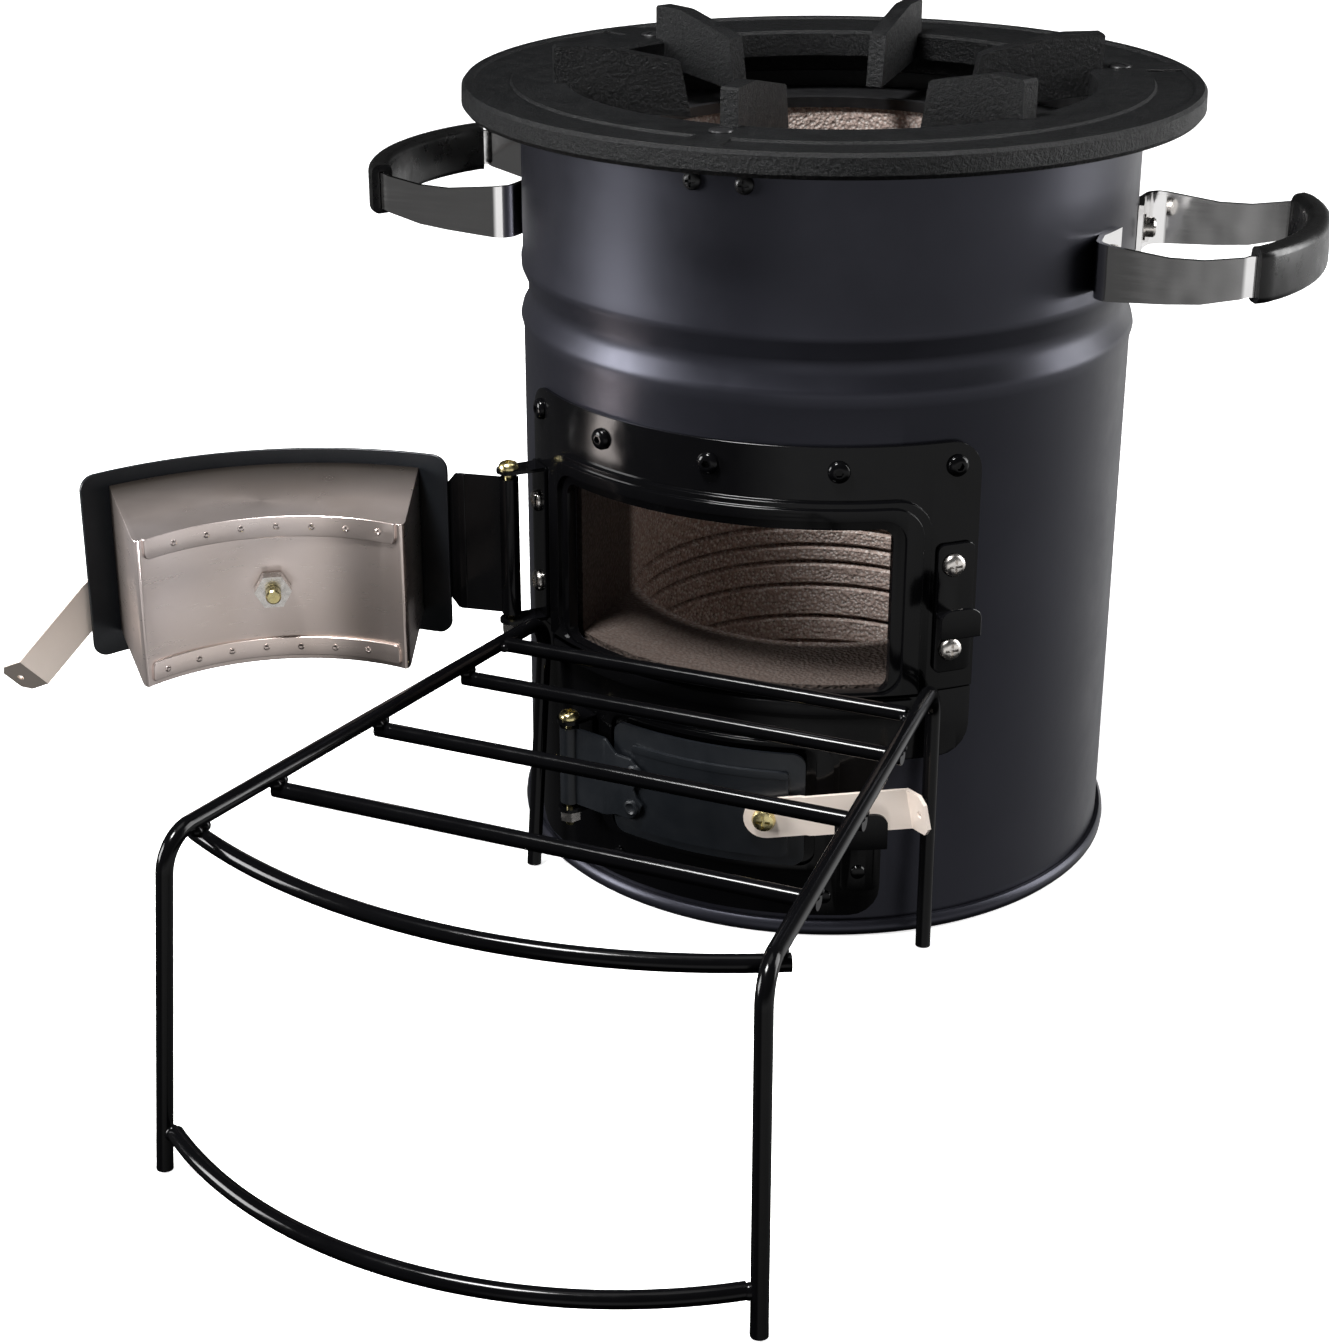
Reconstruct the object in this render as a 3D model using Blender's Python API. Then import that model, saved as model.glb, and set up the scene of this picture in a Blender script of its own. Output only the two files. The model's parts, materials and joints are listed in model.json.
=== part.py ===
"""Rocket stove: drum body, cast cooktop ring, two hinged doors with latches, two handles, wire stick rack.

Units are metres, +Z is up, the mouths face -Y and the drum axis is the Z axis.
Angles round the drum are measured from -Y, positive towards +X.
"""
import bpy
import bmesh
from math import radians, degrees, sin, cos, pi, sqrt, atan2, hypot
from mathutils import Vector, Matrix
from mathutils.geometry import tessellate_polygon

MM = 0.001
GAP = 0.3 * MM

# drum
SHELL_R = 125.0 * MM
SHELL_WALL = 1.2 * MM
SHELL_TOP = 311.8 * MM
SEAM_R = 128.2 * MM
CASTING_R = 123.3 * MM
BORE_R = 80.0 * MM
CASTING_TOP = 293.0 * MM
FLOOR_TOP = 24.0 * MM

# cooktop ring
RING_R = 148.4 * MM
RING_HOLE_R = 106.0 * MM
RING_TOP = 321.9 * MM
RING_BOTTOM = 312.2 * MM
RIB_COUNT = 6
RIB_WIDTH = 7.0 * MM

# mouths
PLATE_R0 = 125.3 * MM
PLATE_R1 = 126.8 * MM
WRAP_R = 126.5 * MM
FUEL_HALF = 31.5
FUEL_Z0, FUEL_Z1 = 108.2 * MM, 175.2 * MM
ASH_HALF = 15.5
ASH_Z0, ASH_Z1 = 39.0 * MM, 79.0 * MM
THROAT_HALF = 65.5 * MM

# fuel door
FUEL_AXIS = Vector((-97.1 * MM, -103.1 * MM, 0))
FUEL_OPEN = 147.0
FUEL_MID_Z = 140.5 * MM
FUEL_PANEL_R = 133.5 * MM
FUEL_PANEL_HALF = 33.0
FUEL_PANEL_Z = (99.6 * MM, 177.7 * MM)
FUEL_BARREL_Z = (111.5 * MM, 170.5 * MM)
FUEL_LATCH_TH = 25.0
FUEL_LATCH_Z = 136.6 * MM
FUEL_LATCH_DROP = 41.5

# ash door
ASH_AXIS = Vector((138.0 * sin(radians(-26.8)) * MM, -138.0 * cos(radians(-26.8)) * MM, 0))
ASH_PANEL_R = 131.6 * MM
ASH_PANEL_HALF = 17.8
ASH_PANEL_Z = (34.5 * MM, 83.0 * MM)
ASH_BARREL_Z = (41.0 * MM, 75.0 * MM)
ASH_LATCH_TH = 11.2
ASH_LATCH_Z = 56.0 * MM
ASH_LATCH_TILT = 11.0

# shared fittings
SHEET = 1.5 * MM
BARREL_R = 4.0 * MM
PIN_HOLE_R = 1.95 * MM
PIN_R = 1.85 * MM
LATCH_WIDTH = 16.6 * MM
LATCH_REACH = 57.5 * MM
LATCH_TAB = 11.8 * MM
LATCH_TAB_BEND = 51.0
LATCH_HOLE_R = 2.65 * MM
LATCH_SHANK_R = 2.55 * MM

# handles
STRAP_SHEET = 2.0 * MM
STRAP_SPANS = ((0.0, 253.6, 275.8), (126.0, 253.8, 275.5), (150.0, 255.2, 272.8), (163.0, 256.5, 273.1),
               (174.0, 258.6, 274.2), (179.5, 261.0, 276.4), (220.0, 261.0, 276.4))
HANDLE_HALF = 48.0 * MM
HANDLE_BOW_R = 95.2 * MM
HANDLE_OUT = 195.2 * MM
HANDLE_BOLT_Z = 265.0 * MM
GRIP_Z = (258.9 * MM, 279.6 * MM)

# rack
WIRE_R = 3.0 * MM
RACK_FOOT_FRONT = (109.0 * MM, -355.0 * MM)
RACK_FOOT_REAR = (85.9 * MM, -110.0 * MM)
RACK_TOP_FRONT = (104.9 * MM, -345.1 * MM, 124.0 * MM)
RACK_TOP_REAR = (83.1 * MM, -100.4 * MM, 110.3 * MM)
RACK_STOP_BAR_Y = -136.3 * MM
RACK_BARS_Y = (-161.0 * MM, -221.0 * MM, -284.0 * MM)


# ---------------------------------------------------------------- scene and materials

def clear_scene():
    for ob in list(bpy.data.objects):
        bpy.data.objects.remove(ob, do_unlink=True)


MATERIALS = {
    "drum_paint": ((0.045, 0.05, 0.062), 0.42, 0.25),
    "gloss_black": ((0.006, 0.006, 0.008), 0.12, 0.0),
    "cast_iron": ((0.014, 0.015, 0.016), 0.62, 0.3),
    "door_paint": ((0.035, 0.042, 0.052), 0.38, 0.2),
    "stainless": ((0.42, 0.39, 0.36), 0.32, 1.0),
    "latch_steel": ((0.62, 0.55, 0.49), 0.35, 0.9),
    "brass": ((0.72, 0.62, 0.33), 0.28, 1.0),
    "zinc": ((0.6, 0.6, 0.6), 0.3, 1.0),
    "chrome": ((0.75, 0.74, 0.74), 0.1, 1.0),
    "rubber": ((0.012, 0.012, 0.012), 0.55, 0.0),
    "refractory": ((0.3, 0.26, 0.23), 0.9, 0.0),
    "black_steel": ((0.012, 0.012, 0.013), 0.4, 0.3),
}


def material(name):
    mat = bpy.data.materials.get(name)
    if mat is None:
        colour, rough, metal = MATERIALS[name]
        mat = bpy.data.materials.new(name)
        mat.use_nodes = True
        bsdf = mat.node_tree.nodes["Principled BSDF"]
        bsdf.inputs["Base Color"].default_value = (*colour, 1)
        bsdf.inputs["Roughness"].default_value = rough
        bsdf.inputs["Metallic"].default_value = metal
        mat.diffuse_color = (*colour, 1)
        mat.roughness = rough
        mat.metallic = metal
    return mat


def add_object(name, mesh, mat, smooth=40.0, parent=None):
    ob = bpy.data.objects.new(name, mesh)
    bpy.context.scene.collection.objects.link(ob)
    mesh.materials.clear()
    mesh.materials.append(material(mat))
    if smooth:
        for poly in mesh.polygons:
            poly.use_smooth = True
        mesh.set_sharp_from_angle(angle=radians(smooth))
    if parent is not None:
        ob.parent = parent
    return ob


def add_empty(name, location, turn=0.0, parent=None):
    ob = bpy.data.objects.new(name, None)
    bpy.context.scene.collection.objects.link(ob)
    ob.empty_display_size = 0.02
    ob.location = location
    ob.rotation_euler = (0, 0, turn)
    ob.parent = parent
    return ob


def to_mesh(bm, name="shape"):
    bmesh.ops.recalc_face_normals(bm, faces=bm.faces)
    if bm.calc_volume(signed=True) < 0:
        bmesh.ops.reverse_faces(bm, faces=bm.faces)
    mesh = bpy.data.meshes.new(name)
    bm.to_mesh(mesh)
    bm.free()
    return mesh


# ---------------------------------------------------------------- solids

def lathe(profile, segments=96):
    """Closed (radius, z) profile turned about the Z axis; a point at radius 0 closes on the axis."""
    bm = bmesh.new()
    rings = []
    for r, z in profile:
        if r < 1e-6:
            rings.append([bm.verts.new((0, 0, z))])
        else:
            rings.append([bm.verts.new((r * cos(2 * pi * i / segments), r * sin(2 * pi * i / segments), z))
                          for i in range(segments)])
    for a, b in zip(rings, rings[1:] + rings[:1]):
        for i in range(segments):
            j = (i + 1) % segments
            corners = [a[i % len(a)], a[j % len(a)], b[j % len(b)], b[i % len(b)]]
            unique = []
            for v in corners:
                if v not in unique:
                    unique.append(v)
            if len(unique) > 2:
                bm.faces.new(unique)
    return to_mesh(bm)


def plain_centre(mesh, r=0.05):
    """Underside at z = 0 with one three-cornered face about the axis in place of the fan of wedges."""
    bm = bmesh.new()
    bm.from_mesh(mesh)
    hub = min(bm.verts, key=lambda v: v.co.length)
    rim = sorted((e.other_vert(hub) for e in hub.link_edges), key=lambda v: atan2(v.co.y, v.co.x))
    bmesh.ops.delete(bm, geom=[hub], context="VERTS")
    middle = [bm.verts.new((r * cos(t), r * sin(t), 0)) for t in (0.3, 0.3 + 2 * pi / 3, 0.3 + 4 * pi / 3)]
    bm.faces.new(middle)
    both = rim + middle
    for tri in tessellate_polygon([[v.co for v in rim], [v.co for v in middle]]):
        bm.faces.new([both[i] for i in tri])
    return to_mesh(bm)


def slab(loops, y0, y1):
    """Flat plate between y0 and y1: the first loop of (x, z) points is the outline, the rest are holes."""
    bm = bmesh.new()
    low, high = [], []
    for loop in loops:
        low.append([bm.verts.new((x, y0, z)) for x, z in loop])
        high.append([bm.verts.new((x, y1, z)) for x, z in loop])
    flat_low = [v for loop in low for v in loop]
    flat_high = [v for loop in high for v in loop]
    for tri in tessellate_polygon([[Vector((x, z, 0)) for x, z in loop] for loop in loops]):
        bm.faces.new([flat_low[i] for i in tri])
        bm.faces.new([flat_high[i] for i in reversed(tri)])
    for lo, hi in zip(low, high):
        n = len(lo)
        for i in range(n):
            bm.faces.new((lo[i], lo[(i + 1) % n], hi[(i + 1) % n], hi[i]))
    return to_mesh(bm)


def stand(loop, z0, z1):
    """Upright prism of a closed (x, y) outline between z0 and z1."""
    mesh = slab([loop], z0, z1)
    mesh.transform(Matrix(((1, 0, 0, 0), (0, 0, 1, 0), (0, 1, 0, 0), (0, 0, 0, 1))))
    mesh.flip_normals()
    return mesh


def cylinder(r, start, end, sides=24, r_end=None):
    """Cylinder or cone between two points."""
    start, end = Vector(start), Vector(end)
    direction = (end - start).normalized()
    turn = direction.to_track_quat("Z", "Y").to_matrix()
    bm = bmesh.new()
    loops = []
    for centre, radius in ((start, r), (end, r if r_end is None else r_end)):
        loops.append([bm.verts.new(centre + turn @ Vector((radius * cos(2 * pi * i / sides),
                                                             radius * sin(2 * pi * i / sides), 0)))
                      for i in range(sides)])
    bm.faces.new(loops[0][::-1])
    bm.faces.new(loops[1])
    for i in range(sides):
        j = (i + 1) % sides
        bm.faces.new((loops[0][i], loops[0][j], loops[1][j], loops[1][i]))
    return to_mesh(bm)


def turned(profile, start, direction, sides=16):
    """Turned part: (radius, distance) profile along a direction from a start point."""
    mesh = lathe(profile, sides)
    turn = Vector(direction).normalized().to_track_quat("Z", "Y").to_matrix().to_4x4()
    mesh.transform(Matrix.Translation(start) @ turn)
    return mesh


def sweep(path, section, closed_hole=None):
    """Section of (side, up) points carried along a path; an inner section leaves a passage right through."""
    bm = bmesh.new()
    count = len(path)
    loops, holes = [], []
    up_hint = None
    for i, point in enumerate(path):
        ahead = (path[min(i + 1, count - 1)] - path[max(i - 1, 0)]).normalized()
        if 0 < i < count - 1:
            a = (path[i] - path[i - 1]).normalized()
            b = (path[i + 1] - path[i]).normalized()
            ahead = (a + b).normalized()
            stretch = 1 / max(0.5, ahead.dot(a))
        else:
            stretch = 1.0
        if up_hint is None:
            up_hint = Vector((0, 0, 1)) if abs(ahead.z) < 0.9 else Vector((0, 1, 0))
        side = ahead.cross(up_hint).normalized()
        up = side.cross(ahead).normalized()
        up_hint = up
        loops.append([bm.verts.new(point + side * (u * stretch) + up * v) for u, v in section])
        if closed_hole:
            holes.append([bm.verts.new(point + side * (u * stretch) + up * v) for u, v in closed_hole])
    for rows in (loops, holes):
        for a, b in zip(rows, rows[1:]):
            n = len(a)
            for i in range(n):
                bm.faces.new((a[i], a[(i + 1) % n], b[(i + 1) % n], b[i]))
    for end in (0, -1):
        if closed_hole:
            outer, inner = loops[end], holes[end]
            n = len(outer)
            for i in range(n):
                bm.faces.new((outer[i], outer[(i + 1) % n], inner[(i + 1) % n], inner[i]))
        else:
            bm.faces.new(loops[end])
    return to_mesh(bm)


def rod(path, r=WIRE_R, sides=10):
    ring = [(r * cos(2 * pi * i / sides), r * sin(2 * pi * i / sides)) for i in range(sides)]
    return sweep(path, ring)


def round_corners(points, radius, steps=6):
    """Polyline with its inner corners replaced by arcs."""
    points = [Vector(p) for p in points]
    out = [points[0]]
    for prev, here, nxt in zip(points, points[1:], points[2:]):
        a, b = (prev - here), (nxt - here)
        da, db = a.normalized(), b.normalized()
        half = da.angle(db) / 2
        reach = min(radius / max(1e-6, sin(half) / cos(half)), 0.48 * a.length, 0.48 * b.length)
        p0, p1 = here + da * reach, here + db * reach
        r = reach * sin(half) / cos(half)
        centre = here + (da + db).normalized() * (r / sin(half))
        v0, v1 = p0 - centre, p1 - centre
        angle = v0.angle(v1)
        for k in range(steps + 1):
            t = k / steps
            out.append(centre + (v0 * sin((1 - t) * angle) + v1 * sin(t * angle)) / sin(angle))
    out.append(points[-1])
    return out


def rounded_rect(x0, x1, z0, z1, radius, steps=4, corners=(1, 1, 1, 1)):
    """Corner order: low x low z, high x low z, high x high z, low x high z; a factor scales each radius."""
    out = []
    for (cx, cz, start), k in zip(((x0, z0, pi), (x1, z0, 1.5 * pi), (x1, z1, 0), (x0, z1, 0.5 * pi)), corners):
        r = radius * k
        mx = cx + r if cx == x0 else cx - r
        mz = cz + r if cz == z0 else cz - r
        if r <= 0:
            out.append((cx, cz))
            continue
        out += [(mx + r * cos(start + 0.5 * pi * i / steps), mz + r * sin(start + 0.5 * pi * i / steps))
                for i in range(steps + 1)]
    return out


def arc_mm(angle):
    """Arc length along the plates for an angle round the drum."""
    return radians(angle) * WRAP_R


def plate_rect(a0, a1, z0, z1, radius, **extra):
    return rounded_rect(arc_mm(a0), arc_mm(a1), z0, z1, radius, **extra)


def round_hole(x, z, r, sides=24):
    return [(x + r * cos(2 * pi * i / sides), z + r * sin(2 * pi * i / sides)) for i in range(sides)]


def combine(base, others, operation):
    """Exact boolean of a mesh with others, one after another."""
    helper = bpy.data.objects.new("helper_base", base)
    bpy.context.scene.collection.objects.link(helper)
    tools = []
    for other in others:
        tool = bpy.data.objects.new("helper_tool", other)
        bpy.context.scene.collection.objects.link(tool)
        tool.hide_render = True
        tool.display_type = "WIRE"
        mod = helper.modifiers.new("combine", "BOOLEAN")
        mod.operation = operation
        mod.solver = "EXACT"
        mod.object = tool
        tools.append(tool)
    graph = bpy.context.evaluated_depsgraph_get()
    graph.update()
    result = bpy.data.meshes.new_from_object(helper.evaluated_get(graph))
    for ob in [helper] + tools:
        bpy.data.objects.remove(ob, do_unlink=True)
    return tidy(result)


def tidy(mesh, distance=0.000003):
    bm = bmesh.new()
    bm.from_mesh(mesh)
    bmesh.ops.remove_doubles(bm, verts=bm.verts, dist=distance)
    for _ in range(6):
        # a long open edge beside two short ones is split where they meet
        loose = [e for e in bm.edges if len(e.link_faces) == 1]
        ends = {v for e in loose for v in e.verts}
        split = False
        for edge in loose:
            a, b = edge.verts
            span = b.co - a.co
            for v in ends:
                if v in (a, b) or span.length < distance:
                    continue
                t = (v.co - a.co).dot(span) / span.length_squared
                if 0.001 < t < 0.999 and (a.co + span * t - v.co).length < distance:
                    bmesh.utils.edge_split(edge, a, t)
                    split = True
                    break
        if not split:
            break
        bmesh.ops.remove_doubles(bm, verts=bm.verts, dist=distance)
    bm.to_mesh(mesh)
    bm.free()
    return mesh


def fuse(*meshes):
    return combine(meshes[0], meshes[1:], "UNION")


def cut(mesh, *tools):
    return combine(mesh, tools, "DIFFERENCE")


def wrap(mesh, step=4.0):
    """Bend a flat plate round the drum: x is arc length, y is radius."""
    bm = bmesh.new()
    bm.from_mesh(mesh)
    bmesh.ops.dissolve_limit(bm, angle_limit=0.001, verts=bm.verts, edges=bm.edges)
    xs = [v.co.x for v in bm.verts]
    pitch = arc_mm(step)
    k = int(min(xs) / pitch) - 1
    while k * pitch < max(xs):
        if k * pitch > min(xs):
            geom = list(bm.verts) + list(bm.edges) + list(bm.faces)
            bmesh.ops.bisect_plane(bm, geom=geom, dist=1e-6, plane_co=(k * pitch, 0, 0), plane_no=(1, 0, 0))
        k += 1
    bmesh.ops.triangulate(bm, faces=bm.faces, ngon_method="EAR_CLIP")
    for v in bm.verts:
        angle, r = v.co.x / WRAP_R, v.co.y
        v.co = (r * sin(angle), -r * cos(angle), v.co.z)
    return to_mesh(bm)


def round_point(r, angle, z):
    return Vector((r * sin(radians(angle)), -r * cos(radians(angle)), z))


def outward(angle):
    return Vector((sin(radians(angle)), -cos(radians(angle)), 0))


def along(angle):
    return Vector((cos(radians(angle)), sin(radians(angle)), 0))


def moved(mesh, offset):
    mesh.transform(Matrix.Translation(offset))
    return mesh


# ---------------------------------------------------------------- fasteners

def pan_head(r, height):
    """Profile of a domed screw head, from its seat upwards."""
    return [(0, 0), (r, 0), (r, 0.35 * height), (0.86 * r, 0.75 * height), (0.5 * r, height), (0, height)]


def cross_tool(a, b, z0, z1, where, direction):
    """Upright cross, arms a long and b wide from the middle, to cut a driver recess."""
    outline = [(-a, -b), (-b, -b), (-b, -a), (b, -a), (b, -b), (a, -b), (a, b), (b, b), (b, a), (-b, a), (-b, b),
               (-a, b)]
    tool = stand(outline, z0, z1)
    turn = Vector(direction).normalized().to_track_quat("Z", "Y").to_matrix().to_4x4()
    tool.transform(Matrix.Translation(Vector(where)) @ turn)
    return tool


def cross_screw(name, where, direction, r, height, mat, parent=None):
    """Domed head with a cross recess."""
    head = turned(pan_head(r, height), where, direction)
    tool = cross_tool(0.6 * r, 0.13 * r, 0.55 * height, 1.6 * height, where, direction)
    return add_object(name, cut(head, tool), mat, parent=parent)


def hex_nut(name, where, direction, across, height, hole_r, mat, parent=None):
    """Nut with its hole on the axis through where."""
    r = across / sqrt(3)
    outline = [(r * cos(pi / 3 * i), r * sin(pi / 3 * i)) for i in range(6)]
    hole = [(hole_r * cos(pi / 9 * i), hole_r * sin(pi / 9 * i)) for i in range(18)]
    mesh = slab([outline, hole], 0, height)
    mesh.transform(Matrix(((1, 0, 0, 0), (0, 0, 1, 0), (0, 1, 0, 0), (0, 0, 0, 1))))
    mesh.flip_normals()
    turn = Vector(direction).normalized().to_track_quat("Z", "Y").to_matrix().to_4x4()
    mesh.transform(Matrix.Translation(Vector(where)) @ turn)
    return add_object(name, mesh, mat, smooth=30, parent=parent)


# ---------------------------------------------------------------- body

def build_drum():
    w = SHELL_WALL
    outside = [(0.0, 3.0), (0.0, 221.0), (1.1, 225.5), (0.4, 228.5), (-2.1, 233.0), (-2.1, 240.0), (0.6, 246.5),
               (0.7, 250.0), (0.0, 253.0), (0.0, SHELL_TOP / MM)]
    outside = [(SHELL_R + r * MM, z * MM) for r, z in outside]
    inside = [(r - w, z) for r, z in reversed(outside)]
    shell = lathe(outside + inside, 64)
    fuel_cut = wrap(slab([plate_rect(-FUEL_HALF - 1, FUEL_HALF + 1, FUEL_Z0 - MM, FUEL_Z1 + MM, 5 * MM)],
                         118 * MM, 130 * MM))
    ash_cut = wrap(slab([plate_rect(-ASH_HALF - 1, ASH_HALF + 1, ASH_Z0 - MM, ASH_Z1 + MM, 4 * MM)],
                        118 * MM, 130 * MM))
    add_object("outer_shell", cut(shell, fuel_cut, ash_cut), "drum_paint")

    s = SHELL_R + GAP
    pan = [(0, 0), (126.8, 0), (128.0, 1.2), (SEAM_R / MM, 3.0), (128.0, 4.8), (126.8, 6.0), (s / MM, 6.0),
           (s / MM, 2.7), (0, 2.7)]
    add_object("base_pan", plain_centre(lathe([(r * MM, z * MM) for r, z in pan], 64)), "drum_paint")

    # thick insulating casting: grooved bore, fuel throat and ash throat
    inside = []
    for z in (96.5, 87.5, 79.0, 67.5, 51.5, 38.5):
        inside += [(BORE_R, (z + 1.8) * MM), (BORE_R + 2.4 * MM, z * MM), (BORE_R, (z - 1.8) * MM)]
    r = CASTING_R - 2.6 * MM
    outside = [(BORE_R, 3.0 * MM), (r, 3.0 * MM), (r, CASTING_TOP), (BORE_R, CASTING_TOP)]
    casting = lathe(outside + inside, 48)
    fuel = stand([(-THROAT_HALF, -0.14), (THROAT_HALF, -0.14), (THROAT_HALF, -0.03), (-THROAT_HALF, -0.03)],
                 FUEL_Z0 - 0.6 * MM, FUEL_Z1 + 0.8 * MM)
    half = 34.5 * MM
    ash = stand([(-half, -0.14), (half, -0.14), (half, -0.03), (-half, -0.03)], ASH_Z0 - 4 * MM, ASH_Z1)
    add_object("refractory_casting", cut(casting, fuel, ash), "refractory", smooth=30)
    add_object("chamber_floor", lathe([(0, 3.0 * MM), (79.5 * MM, 3.0 * MM), (79.5 * MM, 22.5 * MM),
                                       (78 * MM, FLOOR_TOP), (0, FLOOR_TOP)], 48), "refractory")
    deck = [(78.6, 293.3), (123.3, 293.3), (123.3, 301.5), (122.1, 301.5), (122.1, 294.8), (80.6, 294.8),
            (80.0, 298.2), (78.2, 297.8)]
    add_object("top_deck", lathe([(r * MM, z * MM) for r, z in deck], 48), "black_steel")


def build_cooktop():
    profile = [(106.0, 320.6), (106.0, 311.0), (118.6, 309.6), (118.6, 302.5), (121.2, 302.5),
               (121.2, 312.2), (147.0, 312.2), (148.4, 314.0), (148.2, 320.4),
               (147.0, 321.9), (143.8, 321.9), (143.0, 320.9), (128.8, 320.9), (128.0, 321.9), (107.4, 321.9)]
    ring = lathe([(r * MM, z * MM) for r, z in profile], 72)
    outline = [(56.8, 307.0), (61.0, 328.4), (63.0, 329.4), (93.0, 336.0), (96.0, 336.3), (110.6, 336.3),
               (111.6, 335.3), (111.6, 321.0), (107.0, 320.0), (107.0, 311.6), (104.0, 311.0)]
    ribs = []
    for k in range(RIB_COUNT):
        rib = slab([[(r * MM, z * MM) for r, z in outline]], -RIB_WIDTH / 2, RIB_WIDTH / 2)
        rib.transform(Matrix.Rotation(radians(60 * k - 90), 4, "Z"))
        ribs.append(rib)
    lands = []
    for k in range(3):
        land = wrap(slab([rounded_rect(-7 * MM, 7 * MM, 319.5 * MM, 321.9 * MM, 0)], 127.4 * MM, 143.6 * MM))
        land.transform(Matrix.Rotation(radians(120 * k), 4, "Z"))
        lands.append(land)
    add_object("cooktop_ring", fuse(ring, *ribs, *lands), "cast_iron", smooth=35)
    for k in range(3):
        where = round_point(119.5 * MM, 120 * k, RING_TOP + 0.2 * MM)
        head = turned([(0, 0), (4.6 * MM, 0), (4.3 * MM, 0.6 * MM), (2.5 * MM, 1.1 * MM), (0, 1.2 * MM)], where,
                      (0, 0, 1))
        slot = stand([(-5 * MM, -0.5 * MM), (5 * MM, -0.5 * MM), (5 * MM, 0.5 * MM), (-5 * MM, 0.5 * MM)],
                     0.6 * MM, 3 * MM)
        slot.transform(Matrix.Translation(where) @ Matrix.Rotation(radians(120 * k + 25), 4, "Z"))
        add_object("ring_screw_%d" % (k + 1), cut(head, slot), "black_steel")
    for k, angle in enumerate((-4.1, 5.2)):
        cross_screw("collar_screw_%d" % (k + 1), round_point(SHELL_R + 0.2 * MM, angle, 304.4 * MM),
                    outward(angle), 3.6 * MM, 2.0 * MM, "black_steel")


def build_surrounds():
    hole = plate_rect(-FUEL_HALF, FUEL_HALF, FUEL_Z0, FUEL_Z1, 5 * MM)
    plate = slab([plate_rect(-47.6, 47.6, 105.6 * MM, 207.0 * MM, 13 * MM, corners=(0, 0, 1, 1)), hole],
                 PLATE_R0, PLATE_R1)
    lip = slab([plate_rect(-38.2, 38.2, 106.4 * MM, 185.6 * MM, 13 * MM, corners=(0, 0, 1, 1)), hole],
               PLATE_R0 + 0.4 * MM, 129.4 * MM)
    bead = slab([plate_rect(-36.6, 36.6, 107.0 * MM, 183.4 * MM, 12 * MM, corners=(0, 0, 1, 1)),
                 plate_rect(-33.6, 33.6, 107.4 * MM, 179.0 * MM, 9 * MM)], 128.8 * MM, 131.3 * MM)
    add_object("upper_surround", wrap(fuse(plate, lip, bead)), "gloss_black", smooth=30)

    ash_hole = plate_rect(-ASH_HALF, ASH_HALF, ASH_Z0, ASH_Z1, 4 * MM)
    x0, x1, xn = arc_mm(-46.5), arc_mm(47.4), arc_mm(31.6)
    z0, z1, zn = 9.0 * MM, 105.2 * MM, 77.0 * MM
    r = 12 * MM
    outline = [(x0 + r * (1 - sin(t)), z0 + r * (1 - cos(t))) for t in [pi / 2 * (1 - i / 5) for i in range(6)]]
    outline += [(xn - r + r * sin(t), z0 + r - r * cos(t)) for t in [pi / 2 * i / 5 for i in range(6)]]
    q = 5 * MM
    outline += [(xn + q - q * cos(t), zn - q + q * sin(t)) for t in [pi / 2 * i / 4 for i in range(5)]]
    outline += [(x1 - r + r * sin(t), zn + r - r * cos(t)) for t in [pi / 2 * i / 5 for i in range(6)]]
    outline += [(x1, z1), (x0, z1)]
    plate = slab([outline, ash_hole], PLATE_R0, PLATE_R1)
    lip = slab([plate_rect(-23.6, 23.6, 29.5 * MM, 88.0 * MM, 10 * MM), ash_hole], PLATE_R0 + 0.4 * MM, 128.6 * MM)
    bead = slab([plate_rect(-22.6, 22.6, 31.0 * MM, 86.5 * MM, 9 * MM),
                 plate_rect(-19.6, 19.6, 33.2 * MM, 84.4 * MM, 6 * MM)], 128.0 * MM, 130.4 * MM)
    sill = slab([plate_rect(-37.6, 37.6, 97.0 * MM, 105.0 * MM, 6 * MM, corners=(1, 1, 0, 0))],
                PLATE_R0 + 0.4 * MM, 129.4 * MM)
    step = slab([plate_rect(-35.6, 35.6, 99.4 * MM, 104.6 * MM, 5 * MM, corners=(1, 1, 0, 0))],
                128.8 * MM, 131.3 * MM)
    lower = wrap(fuse(plate, lip, bead, sill, step))
    domes = []
    for angle, z in ((-19.0, 19.5), (21.5, 17.5)):
        domes.append(turned(pan_head(3.0 * MM, 1.6 * MM), round_point(PLATE_R1 - 0.3 * MM, angle, z * MM),
                            outward(angle)))
    add_object("lower_surround", fuse(lower, *domes), "gloss_black", smooth=30)
    for k, angle in enumerate((-43.6, -23.0, -0.5, 22.1, 42.8)):
        where = round_point(PLATE_R1 + 0.2 * MM, angle, 197.6 * MM)
        head = turned(pan_head(4.3 * MM, 2.4 * MM), where, outward(angle))
        socket = turned([(0, 0), (1.7 * MM, 0), (1.7 * MM, 3 * MM), (0, 3 * MM)],
                        round_point(PLATE_R1 + 1.4 * MM, angle, 197.6 * MM), outward(angle), 6)
        add_object("surround_screw_%d" % (k + 1), cut(head, socket), "gloss_black")


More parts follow.
